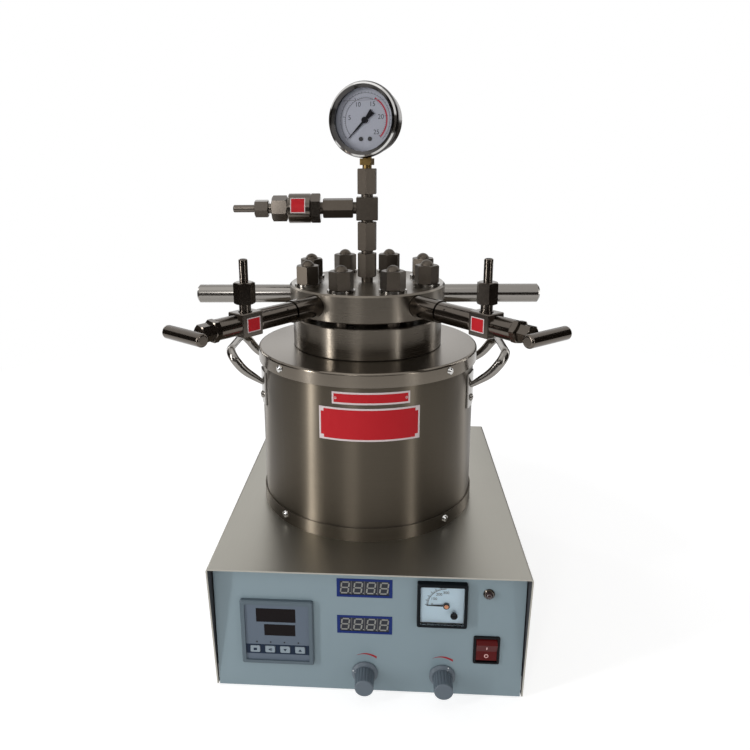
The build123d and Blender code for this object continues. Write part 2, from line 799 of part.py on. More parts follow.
def rocker_frame():
    """Snap-in switch body with an open well for the rocker."""
    frame = slab(switch_size[0], switch_size[1], 0, switch_flange, 2.0)
    frame = chamfer(frame.faces().sort_by(Axis.Z)[-1].edges(), 0.6)
    width, height = switch_opening
    frame += slab(width + 2 * switch_wall, height + 2 * switch_wall, -switch_depth, 0)
    frame -= slab(width, height, switch_floor - switch_depth, switch_flange + 1)
    pin_hole = Cylinder(rocker_pin_radius + running_clearance, width + 1, rotation=(0, 90, 0))
    frame -= Pos(0, 0, -rocker_pivot_depth) * pin_hole
    return panel_place(switch_x, switch_z) * frame


def rocker():
    """V-topped rocker on its pin, at rest with its lower half pressed in."""
    half = rocker_half_length
    pivot = -rocker_pivot_depth
    reach = sqrt(half ** 2 + (rocker_crown - pivot) ** 2)
    top_angle = degrees(acos(half / reach))
    low_angle = -12.0
    corner = (half, rocker_crown)
    flank = (reach * cos(radians(low_angle)), pivot + reach * sin(radians(low_angle)))
    keel, keel_z = rocker_keel[0], pivot - rocker_keel[1]
    outline = [
        Polyline((-corner[0], corner[1]), (0, rocker_dip), corner),
        RadiusArc(corner, flank, reach),
        Polyline(flank, (keel, keel_z), (-keel, keel_z), (-flank[0], flank[1])),
        RadiusArc((-flank[0], flank[1]), (-corner[0], corner[1]), reach),
    ]
    width = switch_opening[0] - 2 * rocker_clearance
    body = extrude(Plane.YZ * make_face(outline), width / 2, both=True)
    pin_length = switch_opening[0] + switch_wall
    body += Pos(0, 0, pivot) * Cylinder(rocker_pin_radius, pin_length, rotation=(0, 90, 0))
    tilt = Pos(0, 0, pivot) * Rot(rocker_tilt, 0, 0) * Pos(0, 0, -pivot)
    return panel_place(switch_x, switch_z) * tilt * body


def knob(x):
    """Skirted knob with a fluted grip, moulded on the shaft of its potentiometer."""
    low = knob_gap
    grip_start = low + knob_skirt
    body = turned(
        (0, low), (knob_skirt_radius, low), (knob_skirt_radius, low + 1.0),
        (knob_grip_radius + knob_edge, grip_start), (knob_grip_radius, grip_start),
        (knob_face_radius, knob_length - knob_edge), (knob_face_radius - knob_edge, knob_length),
        (0, knob_length))
    flute = post(knob_flute_radius, grip_start + 0.4, knob_length + 1)
    for cut in ring_of(knob_flutes, knob_grip_radius + knob_flute_radius - knob_flute_depth, flute):
        body -= cut
    body -= post(knob_nut_pocket, low - 1, pot_bush_proud + 0.8)
    body += post(shaft_radius, -panel_sheet - pot_depth + 2, pot_bush_proud + 1.5)
    return panel_place(x, knob_z) * body


def potentiometers():
    """Two potentiometers held by their nuts behind the knobs."""
    body = post(pot_radius, -panel_sheet - pot_depth, -panel_sheet)
    body += post(pot_bush_radius, -panel_sheet, pot_bush_proud)
    body += hexagon(pot_nut[0], 0, pot_nut[1])
    lug_width, lug_height, lug_thickness = pot_lugs
    lug_back = -panel_sheet - pot_lug_depth
    body += Pos(0, pot_radius, 0) * slab(lug_width, lug_height, lug_back - lug_thickness, lug_back)
    body -= post(shaft_radius + running_clearance, -panel_sheet - pot_depth + 1.5, pot_bush_proud + 1)
    return group([panel_place(x, knob_z) * body for x in knob_x])


# ---- drive -------------------------------------------------------------------------------
def stir_motor():
    """Round motor hanging under its bracket, bored for the shaft."""
    low = bracket_top - bracket_sheet - motor_height
    motor = post(motor_radius, low, bracket_top - bracket_sheet)
    motor += post(motor_radius * 0.5, low - 4, low)
    motor -= post(drive_shaft_radius + running_clearance,
                  bracket_top - bracket_sheet - drive_shaft_bore_depth, bracket_top)
    return motor


def motor_bracket():
    """Folded bracket: a table on two legs with feet on the tray."""
    table = slab(bracket_width, bracket_depth, tray_floor, bracket_top)
    table -= slab(bracket_width - 2 * bracket_sheet, bracket_depth + 2, tray_floor - 1,
                  bracket_top - bracket_sheet)
    for side in (-1, 1):
        at = side * (bracket_width / 2 + bracket_foot / 2)
        table += Pos(at, 0, 0) * slab(bracket_foot, bracket_depth, tray_floor,
                                      tray_floor + bracket_sheet)
    table -= post(drive_shaft_radius + 3, tray_floor, bracket_top + 1)
    return table


def magnet_rotor():
    """Disc with two drive magnets and the shaft that runs in the motor."""
    top = rotor_bottom + rotor_thickness
    rotor = post(rotor_radius, rotor_bottom, top)
    rotor += post(drive_shaft_radius * 2, rotor_bottom - 8, rotor_bottom)
    bore_end = bracket_top - bracket_sheet - drive_shaft_bore_depth
    rotor += post(drive_shaft_radius, bore_end + 1, rotor_bottom)
    for side in (-1, 1):
        rotor += Pos(side * magnet_offset, 0, 0) * post(magnet_radius, top, top + magnet_height)
    return rotor


def control_board():
    """Circuit board on four stand-offs, with its transformer, heat sink and capacitors."""
    width, depth = board_size
    low = tray_floor + standoff_height
    top = low + board_thickness
    board = slab(width, depth, low, top)
    across, along = width / 2 - standoff_inset, depth / 2 - standoff_inset
    for x, y in ((-across, -along), (-across, along), (across, -along), (across, along)):
        board += Pos(x, y, 0) * post(standoff_radius, tray_floor, low)
    wide, long, tall = transformer_size
    board += Pos(-width * 0.24, depth * 0.18, 0) * slab(wide, long, top, top + tall)
    wide, long, tall = heat_sink_size
    heat_sink = slab(wide, long, top, top + tall)
    pitch = (wide + heat_sink_slot) / heat_sink_fins
    for i in range(1, heat_sink_fins):
        x = pitch * (i - heat_sink_fins / 2)
        heat_sink -= Pos(x, 0, 0) * slab(heat_sink_slot, 2 * long, top + heat_sink_base, top + 2 * tall)
    board += Pos(width * 0.26, depth * 0.22, 0) * heat_sink
    for i in range(capacitor_count):
        board += Pos(width * (0.1 + 0.14 * i), -depth * 0.25, 0) * post(
            capacitor_radius, top, top + capacitor_height)
    return at_cabinet(Pos(board_at[0], board_at[1], 0) * board)


# ---- heating jacket ----------------------------------------------------------------------
def radial_hole(angle, radius, z, hole_radius):
    """A cutter through a wall at one angle and height, along the radius."""
    drill = Cylinder(hole_radius, 24, rotation=(0, 90, 0))
    return Rot(0, 0, angle) * Pos(radius, 0, z) * drill


def leg_angle():
    """Angle of each handle leg from the handle's middle, where it meets the shell."""
    return degrees(acos(sqrt(shell_radius ** 2 - handle_leg_offset ** 2) / shell_radius))


def leg_angles():
    """Directions of the four legs around the jacket."""
    return [middle + side * leg_angle() for middle in (0.0, 180.0) for side in (-1, 1)]


def jacket_shell():
    """Rolled sheet body of the jacket, drilled for its screws and rivets."""
    shell = pipe(shell_radius, shell_radius - shell_sheet, cover_top, cap_underside)
    for angle in screw_angles:
        for z in (cap_screw_z, ring_screw_z):
            shell -= radial_hole(angle, shell_radius, z, screw_radius + screw_hole_clearance)
    for angle in leg_angles():
        shell -= radial_hole(angle, shell_radius, rivet_z, rivet_radius + screw_hole_clearance)
    return shell


def jacket_cap():
    """Spun cap: a flat ring for the vessel's flange and a short skirt over the shell."""
    cap = post(cap_radius, jacket_top - cap_skirt, jacket_top)
    cap = fillet(cap.edges().sort_by(Axis.Z)[-1], cap_edge_radius)
    cap -= post(cap_radius - cap_sheet, jacket_top - cap_skirt - 1, cap_underside)
    cap -= post(heater_bore_radius, jacket_top - cap_skirt, jacket_top + 1)
    for angle in screw_angles:
        cap -= radial_hole(angle, cap_radius, cap_screw_z, screw_radius + screw_hole_clearance)
    return cap


def base_ring():
    """Band around the foot of the shell."""
    ring = pipe(ring_radius, ring_radius - ring_sheet, cover_top, cover_top + ring_height)
    for angle in screw_angles:
        ring -= radial_hole(angle, ring_radius, ring_screw_z, screw_radius + screw_hole_clearance)
    return ring


def insulation():
    """Moulded fibre cup between the heater and the shell, relieved for the screws' ends."""
    outer = shell_radius - shell_sheet - screw_length
    cup = post(outer, insulation_bottom, heater_bottom + heater_height)
    cup -= post(heater_bore_radius + heater_wall + 0.3, heater_bottom, jacket_top)
    return cup


def heater_tube():
    """Ceramic tube with inner grooves for the heating wire."""
    tube = pipe(heater_bore_radius + heater_wall, heater_bore_radius, heater_bottom,
                heater_bottom + heater_height)
    pitch = heater_height / (heater_grooves + 1)
    for i in range(heater_grooves):
        z = heater_bottom + pitch * (i + 1)
        tube -= pipe(heater_bore_radius + heater_groove, heater_bore_radius - 1,
                     z - heater_groove / 2, z + heater_groove / 2)
    return tube


def handle_loop():
    """Bowed legs and a crossbar in one flattened bar, slimmer where it meets the foot plates."""
    root_x = sqrt(shell_radius ** 2 - handle_leg_offset ** 2) + foot_plate_sheet / 2
    run, rise = handle_bar_x - root_x, handle_bar_z - handle_root_z
    length = sqrt(run ** 2 + rise ** 2)
    bow_x = root_x + run / 2 + handle_bow * rise / length
    bow_z = handle_root_z + rise / 2 - handle_bow * run / length
    leg = ((root_x, handle_root_z), (bow_x, bow_z), (handle_bar_x, handle_bar_z))
    points = [(x, -handle_leg_offset, z) for x, z in leg]
    points += [(x, handle_leg_offset, z) for x, z in reversed(leg)]
    path = FilletPolyline(*points, radius=(handle_bow_radius, handle_corner_radius,
                                           handle_corner_radius, handle_bow_radius))
    sections = []
    for along, size in ((0.0, handle_root_section), (0.2, handle_section), (0.5, handle_section),
                        (0.8, handle_section), (1.0, handle_root_section)):
        heading = path % along
        slope = (abs(heading.X), abs(heading.Z))
        if along == 0.5:
            slope = (handle_bar_x - bow_x, handle_bar_z - bow_z)
        place = Plane(origin=path @ along, z_dir=heading, x_dir=(-slope[1], 0, slope[0]))
        sections.append(place * Ellipse(*size))
    return sweep(sections, path, multisection=True)


def handles():
    """Two loop handles of flattened bar, each on two riveted foot plates."""
    loop = handle_loop()
    inner = shell_radius + foot_plate_clearance
    plates = pipe(inner + foot_plate_sheet, inner, foot_plate_bottom, foot_plate_top)
    keep = None
    for leg in (-1, 1):
        angle = leg * leg_angle()
        window = Rot(0, 0, angle) * Pos(inner, 0, 0) * slab(
            20, 2 * foot_plate_half_width, foot_plate_bottom, foot_plate_top, 4.0)
        keep = window if keep is None else keep + window
    body = (plates & keep) + loop
    body -= pipe(inner, inner - 20, foot_plate_bottom - 1, foot_plate_top + 20)
    for leg in (-1, 1):
        body -= radial_hole(leg * leg_angle(), inner, rivet_z, rivet_radius + screw_hole_clearance)
    return group([Rot(0, 0, turn) * body for turn in (0, 180)])


def handle_rivets():
    """Dome-headed rivets through the foot plates and the shell."""
    head = turned(
        (0, 0), (rivet_head_radius, 0), (rivet_head_radius * 0.8, rivet_head_height * 0.7),
        (rivet_head_radius * 0.4, rivet_head_height), (0, rivet_head_height))
    rivet = head + post(rivet_radius, -rivet_length, 0)
    radius = shell_radius + foot_plate_clearance + foot_plate_sheet
    found = []
    for angle in leg_angles():
        found.append(Rot(0, 0, angle) * Pos(radius, 0, rivet_z) * along_x(rivet))
    return group(found)


# ---- pressure vessel ---------------------------------------------------------------------
def stud_places(shape):
    """Copies of a shape on the stud circle, none of them straight ahead."""
    return ring_of(stud_count, stud_circle, shape, start=180 / stud_count)


def vessel():
    """Thick-walled pot with a heavy flange, a seal groove and tapped stud holes."""
    pot = turned(
        (0, vessel_bottom), (vessel_radius - vessel_edge, vessel_bottom),
        (vessel_radius, vessel_bottom + vessel_edge), (vessel_radius, jacket_top),
        (flange_radius - flange_edge, jacket_top),
        (flange_radius, jacket_top + flange_edge), (flange_radius, flange_top - flange_edge),
        (flange_radius - flange_edge, flange_top), (0, flange_top))
    pot -= post(chamber_radius, chamber_bottom, flange_top + 1)
    pot -= post(seal_radius + seal_clearance, seal_bottom, flange_top + 1)
    hole = post(stud_radius + stud_clearance, flange_top - stud_depth - 1, flange_top + 1)
    for cut in stud_places(hole):
        pot -= cut
    return on_head(pot)


def liner():
    """Loose fluoropolymer cup inside the vessel."""
    cup = post(liner_radius, liner_bottom, liner_top)
    cup -= post(liner_radius - liner_wall, liner_bottom + liner_wall, liner_top + 1)
    return on_head(cup)


def stir_bar():
    """Round-ended magnetic bar with a pivot ring around its middle."""
    straight = bar_length / 2 - bar_radius
    profile = make_face([
        Line((0, 0), (0, straight + bar_radius)),
        RadiusArc((0, straight + bar_radius), (bar_radius, straight), bar_radius),
        Polyline((bar_radius, straight), (bar_radius, bar_ring_width / 2),
                 (bar_ring_radius, bar_ring_width / 2), (bar_ring_radius, 0), (0, 0)),
    ])
    half = revolve(Plane.XZ * profile, Axis.Z)
    return on_head(Pos(0, 0, bar_z) * along_x(half + mirror(half, Plane.XY)))


def gasket():
    """Flat seal ring in the vessel's groove."""
    return on_head(pipe(seal_radius, chamber_radius + 0.5, seal_bottom, seal_top))


def side_port(angle, seat_radius):
    """Flat seat and tapped hole in the lid's side."""
    cut = post(seat_radius, port_face, lid_radius + 5)
    cut += post(spigot_radius + spigot_clearance, port_face - spigot_length - 1, port_face + 1)
    return Rot(0, 0, angle) * Pos(0, 0, port_z) * along_x(cut)


def lid():
    """Round lid with a sealing boss, stud holes and drilled side ports."""
    cap = turned(
        (0, seal_top), (seal_radius, seal_top), (seal_radius, lid_bottom),
        (lid_radius - 1, lid_bottom), (lid_radius, lid_bottom + 1),
        (lid_radius, lid_top - lid_chamfer), (lid_radius - lid_chamfer, lid_top), (0, lid_top))
    for cut in stud_places(post(stud_radius + lid_hole_clearance, lid_bottom - 1, lid_top + 1)):
        cap -= cut
    for angle in (0.0, 180.0):
        cap -= side_port(angle, carry_rod_radius + seat_clearance)
    for angle in valve_angles:
        cap -= side_port(angle - head_turn, connector_radius + seat_clearance)
        inner_end = passage_circle - passage_radius
        passage = Pos(0, 0, port_z) * along_x(post(passage_radius, inner_end, port_face))
        passage += Pos(passage_circle, 0, 0) * post(drop_radius, seal_top - 1, port_z)
        cap -= Rot(0, 0, angle - head_turn) * passage
    cap -= post(spigot_radius + spigot_clearance, lid_top - spigot_length - 1, lid_top + 1)
    cap -= post(fitting_bore_radius, seal_top - 1, lid_top)
    return on_head(cap)


def studs():
    """Studs screwed into the flange, with domed ends above the nuts."""
    low = flange_top - stud_depth
    dome_radius = (stud_radius ** 2 + stud_dome ** 2) / (2 * stud_dome)
    profile = make_face([
        Polyline((0, low), (stud_radius, low), (stud_radius, nut_top)),
        RadiusArc((stud_radius, nut_top), (0, nut_top + stud_dome), -dome_radius),
        Line((0, nut_top + stud_dome), (0, low)),
    ])
    return group(stud_places(revolve(Plane.XZ * profile, Axis.Z)), on_head)


def washers():
    """Plain washers under the nuts."""
    ring = pipe(washer_radius, stud_radius + 0.4, lid_top, washer_top)
    return group(stud_places(ring), on_head)


def nuts():
    """Tall hexagon nuts with turned ends."""
    nut = hexagon(nut_across_flats, washer_top, nut_top, nut_chamfer, turn=8.0)
    nut -= post(stud_radius + stud_clearance, washer_top - 1, nut_top + 1)
    return group(stud_places(nut), on_head)


def carry_rods():
    """Two plain rods screwed into the lid's sides to lift it by."""
    rod = turned(
        (0, port_face - spigot_length), (spigot_radius, port_face - spigot_length),
        (spigot_radius, port_face), (carry_rod_radius, port_face),
        (carry_rod_radius, carry_rod_tip - carry_rod_chamfer),
        (carry_rod_radius - carry_rod_chamfer, carry_rod_tip - 0.8), (0, carry_rod_tip))
    placed = [Rot(0, 0, angle) * Pos(0, 0, port_z) * along_x(rod) for angle in (0.0, 180.0)]
    return group(placed, on_head)


# ---- lid fittings ------------------------------------------------------------------------
def fitting(span, low, high, spigot=0.0):
    """Hexagon coupling with a neck at each end; a spigot adds to its lower neck."""
    piece = hexagon(hex_across_flats, span[0], span[1], hex_chamfer)
    piece += post(neck_radius, low, high)
    if spigot:
        piece += post(spigot_radius, low - spigot, low)
    return piece - post(fitting_bore_radius, low - spigot - 1, high + 1)


def column_couplings():
    """The upright couplings from the lid to the gauge, and the one out to the relief arm."""
    pieces = [
        fitting(first_coupling, lid_top, second_coupling[0], spigot_length),
        fitting(second_coupling, second_coupling[0], tee_span[0]),
        fitting(gauge_coupling, tee_span[1], gauge_coupling[1]),
        Pos(0, 0, tee_port_z) * Rot(0, -90, 0) * fitting(arm_coupling, tee_width / 2, arm_hex[0]),
    ]
    return group(pieces, on_head)


def tee_block():
    """Square cross block that joins the column and the relief arm."""
    block_body = slab(tee_width, tee_width, *tee_span)
    block_body = chamfer(block_body.edges(), 0.6)
    block_body -= post(fitting_bore_radius, tee_span[0] - 1, tee_span[1] + 1)
    side_bore = post(fitting_bore_radius, 0, tee_width)
    block_body -= Pos(0, 0, tee_port_z) * Rot(0, -90, 0) * side_bore
    return on_head(block_body)


def relief_holder():
    """Burst-disc holder: hexagon and round barrel in one turned piece."""
    body = hexagon(arm_hex_across_flats, arm_hex[0], arm_hex[1], hex_chamfer, turn=0.0)
    barrel = post(arm_barrel_radius, *arm_barrel)
    body += chamfer(barrel.edges().filter_by(GeomType.CIRCLE), 0.8)
    body += post(arm_collar_radius, arm_barrel[1], arm_nut[0])
    body -= post(fitting_bore_radius, arm_hex[0] - 1, arm_nut[0] + 1)
    return on_head(Pos(0, 0, tee_port_z) * Rot(0, -90, 0) * body)


def tube_nut(across_flats, low, high, neck_low):
    """Compression nut over a tube, with a neck behind it."""
    nut = hexagon(across_flats, low, high, hex_chamfer + 0.6)
    nut += post(neck_radius - 1, neck_low, low)
    return nut - post(tube_root_radius + 0.1, neck_low - 1, high + 1)


def outlet_nuts():
    """The relief arm's outlet nut and gland nut, and the nut on each valve's branch."""
    outlet = hexagon(arm_nut_across_flats, arm_nut[0], arm_nut[1], hex_chamfer + 0.8, turn=10.0)
    outlet -= post(fitting_bore_radius, arm_nut[0] - 1, arm_nut[1] + 1)
    gland = tube_nut(arm_gland_across_flats, arm_gland[0], arm_gland[1], arm_nut[1])
    lay = Pos(0, 0, tee_port_z) * Rot(0, -90, 0)
    found = [on_head(lay * outlet), on_head(lay * gland)]
    branch = tube_nut(branch_nut_across_flats, branch_nut[0], branch_nut[1], branch_low)
    for angle in valve_angles:
        found.append(on_valve(angle, Pos(block_middle, 0, 0) * branch))
    return group(found)


def open_tube(low, nut_end, high):
    """Tube stub about Z, turned down inside its nut and chamfered at the mouth."""
    edge = 0.8
    return turned(
        (tube_bore_radius, low), (tube_root_radius, low), (tube_root_radius, nut_end),
        (tube_radius, nut_end), (tube_radius, high - edge), (tube_radius - edge, high),
        (tube_bore_radius, high))


def outlet_tubes():
    """The short tube stubs of the relief arm and of the two valves."""
    found = [on_head(Pos(0, 0, tee_port_z) * Rot(0, -90, 0) * open_tube(
        arm_tube[0], arm_gland[1], arm_tube[1]))]
    stub = open_tube(branch_low, branch_nut[1], branch_tube_top)
    for angle in valve_angles:
        found.append(on_valve(angle, Pos(block_middle, 0, 0) * stub))
    return group(found)


# ---- needle valves (each made along +X from the vessel's axis, at its own height) --------
def on_valve(angle, shape):
    """Swing a shape made along +X to one valve's direction."""
    return Rot(0, 0, angle) * shape


def valve_line(shape):
    """Lay a turned shape, made about +Z by its distance from the axis, on the port line."""
    return Pos(0, 0, port_z) * along_x(shape)


def valve_connectors():
    """Connector in the lid's seat and the long collar with its weep hole, for each valve."""
    connector = post(connector_radius, port_face, connector_end)
    connector += post(spigot_radius, port_face - spigot_length, port_face)
    connector += post(neck_radius, connector_end, collar[0])
    connector -= post(passage_radius, port_face - spigot_length - 1, collar[0] + 1)
    sleeve = post(collar_radius, *collar)
    sleeve = chamfer(sleeve.edges().filter_by(GeomType.CIRCLE), 0.8)
    sleeve -= post(passage_radius, collar[0] - 1, collar[1] + 1)
    found = []
    for angle in valve_angles:
        outward = -1 if angle > 270 else 1
        hole = Pos(collar[0] + weep_hole_at, outward * collar_radius * 0.72,
                   port_z + collar_radius * 0.5)
        drill = hole * Cylinder(weep_hole_radius, 6, rotation=(-outward * 55, 0, 0))
        found.append(on_valve(angle, valve_line(connector)))
        found.append(on_valve(angle, valve_line(sleeve) - drill))
    return group(found)


def valve_blocks():
    """Square valve bodies with a bored neck on top, their bonnets and gland nuts."""
    body = Pos(block_middle, 0, port_z) * Box(block_length, block_width, block_height)
    body = chamfer(body.edges(), block_edge)
    body += Pos(block_middle, 0, 0) * post(neck_radius, port_z + block_height / 2 - 1, branch_low)
    body -= Pos(block_middle, 0, 0) * post(tube_bore_radius, port_z, branch_low + 1)
    body -= valve_line(post(passage_radius, collar[1], block_middle))
    body -= valve_line(post(spindle_radius + running_clearance, block_middle + 2, block[1] + 1))
    bonnet = post(bonnet_radius, block[1], bonnet_end)
    bonnet += hexagon(bonnet_across_flats, bonnet_end, bonnet_hex_end, hex_chamfer)
    nut = hexagon(gland_across_flats, bonnet_hex_end, gland_nut_end, hex_chamfer)
    bore = post(spindle_radius + running_clearance, block[1] - 1, gland_nut_end + 1)
    pieces = [body, valve_line(bonnet - bore), valve_line(nut - bore)]
    return group([on_valve(angle, piece) for angle in valve_angles for piece in pieces])


def valve_spindle(index):
    """Spindle with its pointed tip and the round cross bar that turns it."""
    angle = valve_angles[index]
    outward = -1 if angle < 270 else 1
    shoulder = block[1] - spindle_engagement
    tip = turned((0, shoulder - spindle_tip), (spindle_radius, shoulder), (spindle_radius, grip_at),
                 (0, grip_at))
    bar = Cylinder(grip_radius, grip_length, rotation=(90, 0, 0))
    bar = fillet(bar.edges().filter_by(GeomType.CIRCLE), grip_edge)
    bar = Pos(grip_at, outward * grip_offset, port_z) * bar
    return on_valve(angle, valve_line(tip) + bar)


# ---- pressure gauge (made about +Z as its dial's normal, +Y up) --------------------------
def on_gauge(shape):
    """Set a shape made in the dial's own frame on top of the column."""
    dial = Plane(origin=(0, 0, gauge_z), x_dir=(1, 0, 0), z_dir=(0, -1, 0))
    return Rot(0, 0, gauge_turn) * (dial * shape)


def gauge_stem():
    """Brass socket: neck, square for the spanner, and the movement block behind the dial."""
    neck_bottom = gauge_coupling[1]
    square_bottom = neck_bottom + stem_neck_height
    stem = post(stem_neck_radius, neck_bottom, square_bottom)
    square_top = gauge_z - gauge_bezel_radius - stem_bezel_gap
    neck_top = gauge_z - movement_size[1] / 2
    stem += slab(stem_square, stem_square, square_bottom, square_top, 1.0)
    stem += post(stem_neck_radius, square_top, neck_top)
    stem = Rot(0, 0, gauge_turn) * stem
    movement = slab(movement_size[0], movement_size[1], movement_back, gauge_dial_at)
    movement -= post(gauge_pivot_radius + running_clearance, 0, gauge_dial_at + 1)
    bore = post(fitting_bore_radius, neck_bottom - 1, neck_top - 2)
    return (stem - bore) + on_gauge(movement)


def gauge_case():
    """Pressed case, open to the front and pierced below for the stem."""
    back, front = gauge_case_back, gauge_case_front
    radius, sheet = gauge_case_radius, gauge_case_sheet
    case = turned(
        (0, back), (radius - 4, back), (radius, back + 4), (radius, front), (radius - sheet, front),
        (radius - sheet, back + 4 + sheet / 2), (radius - 4 - sheet / 2, back + sheet), (0, back + sheet))
    opening = Pos(0, -radius, 0) * Cylinder(stem_neck_radius + 0.2, 12, rotation=(90, 0, 0))
    return on_gauge(case - opening)


def gauge_bezel():
    """Rolled ring that holds the glass on the case."""
    outer = gauge_bezel_radius
    back, front = gauge_bezel_back, gauge_bezel_front
    inner = gauge_case_radius + 0.1
    ring = turned(
        (inner, back), (outer - 0.8, back), (outer, back + 1), (outer, front - 4),
        (outer - 1.2, front - 1.2), (outer - 3, front), (outer - 4.2, front - 0.6),
        (gauge_window_radius, front - gauge_bezel_lip - 0.6),
        (gauge_window_radius, front - gauge_bezel_lip - 1.2), (inner, front - gauge_bezel_lip - 1.2))
    return on_gauge(ring)


def gauge_glass():
    """Flat window clamped between the case's rim and the bezel's lip."""
    top = gauge_bezel_front - gauge_bezel_lip - 1.2
    return on_gauge(post(gauge_case_radius - 0.1, gauge_case_front, top))


def gauge_dial():
    """Dial plate with a hole for the pointer's pivot."""
    radius = gauge_case_radius - gauge_case_sheet - gauge_dial_clearance
    plate = post(radius, gauge_dial_at, gauge_dial_at + gauge_dial_thickness)
    plate -= post(gauge_pivot_radius + 0.5, 0, gauge_pointer_low)
    return on_gauge(plate)


def gauge_pointer():
    """Slim pointer with a broad wedge of a tail, on the pivot of the movement."""
    reach, tail, wide = gauge_pointer_reach, gauge_pointer_tail, gauge_pointer_tail_half_width
    blade = Polyline((-tail, -wide), (-tail + 1, 0), (-tail, wide), (-2, 1.3), (reach, 0.2),
                     (reach, -0.2), (-2, -1.3), close=True)
    low = gauge_pointer_low
    pointer = Pos(0, 0, low) * extrude(make_face(blade), gauge_pointer_thickness)
    pointer += post(gauge_hub_radius, low - 0.4, low + 1.5)
    pointer += post(gauge_pivot_radius, 1, low)
    return on_gauge(Rot(0, 0, gauge_zero_angle) * pointer)


# ---- every node --------------------------------------------------------------------------
nodes = {
    "cover": cover(),
    "base_tray": base_tray(),
    "front_panel": front_panel(),
    "back_panel": back_panel(),
    "cable_gland": cable_gland(),
    "feet": feet(),
    "sheet_screws": sheet_screws(),
    "controller_case": controller_case(),
    "controller_windows": controller_windows(),
    "displays": displays(),
    "voltmeter_case": voltmeter_case(),
    "voltmeter_glass": voltmeter_glass(),
    "voltmeter_pointer": voltmeter_pointer(),
    "voltmeter_adjuster": voltmeter_adjuster(),
    "pilot_lamp_ring": pilot_lamp_ring(),
    "pilot_lamp_lens": pilot_lamp_lens(),
    "rocker_frame": rocker_frame(),
    "rocker": rocker(),
    "speed_knob": knob(knob_x[0]),
    "voltage_knob": knob(knob_x[1]),
    "potentiometers": potentiometers(),
    "stir_motor": stir_motor(),
    "motor_bracket": motor_bracket(),
    "magnet_rotor": magnet_rotor(),
    "control_board": control_board(),
    "jacket_shell": jacket_shell(),
    "jacket_cap": jacket_cap(),
    "base_ring": base_ring(),
    "insulation": insulation(),
    "heater_tube": heater_tube(),
    "handles": handles(),
    "handle_rivets": handle_rivets(),
    "vessel": vessel(),
    "liner": liner(),
    "stir_bar": stir_bar(),
    "gasket": gasket(),
    "lid": lid(),
    "studs": studs(),
    "washers": washers(),
    "nuts": nuts(),
    "carry_rods": carry_rods(),
    "column_couplings": column_couplings(),
    "tee_block": tee_block(),
    "relief_holder": relief_holder(),
    "outlet_nuts": outlet_nuts(),
    "outlet_tubes": outlet_tubes(),
    "valve_connectors": valve_connectors(),
    "valve_blocks": valve_blocks(),
    "left_valve_spindle": valve_spindle(0),
    "right_valve_spindle": valve_spindle(1),
    "gauge_stem": gauge_stem(),
    "gauge_case": gauge_case(),
    "gauge_bezel": gauge_bezel(),
    "gauge_glass": gauge_glass(),
    "gauge_dial": gauge_dial(),
    "gauge_pointer": gauge_pointer(),
}
for number in range(key_count):
    nodes[f"controller_key_{number + 1}"] = controller_key(number)

os.makedirs("parts", exist_ok=True)
for name, shape in nodes.items():
    export_step(shape, f"parts/{name}.step")
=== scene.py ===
"""Finishes, printed marks and studio stage for the stirred pressure reactor."""
import json
import math

import bmesh
import bpy
import numpy as np
from bpy.props import FloatProperty, FloatVectorProperty, IntProperty, PointerProperty
from mathutils import Euler, Matrix, Vector


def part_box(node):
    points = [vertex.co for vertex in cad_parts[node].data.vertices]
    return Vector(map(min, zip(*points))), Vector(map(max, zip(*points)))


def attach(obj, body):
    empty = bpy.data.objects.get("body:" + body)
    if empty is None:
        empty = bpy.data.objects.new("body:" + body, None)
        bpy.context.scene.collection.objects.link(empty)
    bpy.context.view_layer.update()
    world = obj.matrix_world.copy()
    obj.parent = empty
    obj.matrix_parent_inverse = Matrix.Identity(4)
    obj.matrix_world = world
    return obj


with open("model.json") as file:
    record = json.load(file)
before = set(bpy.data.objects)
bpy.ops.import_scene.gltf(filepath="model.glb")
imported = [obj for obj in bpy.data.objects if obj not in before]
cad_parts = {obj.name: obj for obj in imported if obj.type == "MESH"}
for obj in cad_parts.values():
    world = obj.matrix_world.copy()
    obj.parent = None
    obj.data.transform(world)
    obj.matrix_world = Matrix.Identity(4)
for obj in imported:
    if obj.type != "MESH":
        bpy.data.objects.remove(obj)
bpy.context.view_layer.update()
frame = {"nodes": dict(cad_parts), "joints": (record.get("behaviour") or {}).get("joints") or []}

bl_info = {
    "name": "Stirred Pressure Reactor",
    "version": (1, 0, 0),
    "blender": (4, 5, 0),
    "location": "View3D > Sidebar > Reactor",
    "description": "Finishes, printed marks and stage of a bench-top pressure reactor",
    "category": "Object",
}

MM = 0.001
PANEL_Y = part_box("front_panel")[0].y
PANEL_X = (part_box("cover")[0].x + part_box("cover")[1].x) / 2
SHELL_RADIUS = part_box("jacket_shell")[1].x
GAUGE_Z = (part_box("gauge_bezel")[0].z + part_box("gauge_bezel")[1].z) / 2
ARM_Z = (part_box("relief_holder")[0].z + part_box("relief_holder")[1].z) / 2
VALVE_Z = (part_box("left_valve_spindle")[0].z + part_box("left_valve_spindle")[1].z) / 2
DIAL_FACE = 6.0       # the dial plate's face, in front of the gauge's pivot
BLOCK_SIDE = 10.0     # the flat side of a valve block, from the valve's centre line
BARREL_RADIUS = 15.7  # the relief arm's barrel
ARM_TURN = 2.0        # degrees that the relief arm is turned towards the front


def joint_angle(name):
    """Direction of a joint's axis round the vessel, in radians."""
    axis = next(j for j in frame["joints"] if j["name"] == name)["axis"]
    return math.atan2(axis[1], axis[0])


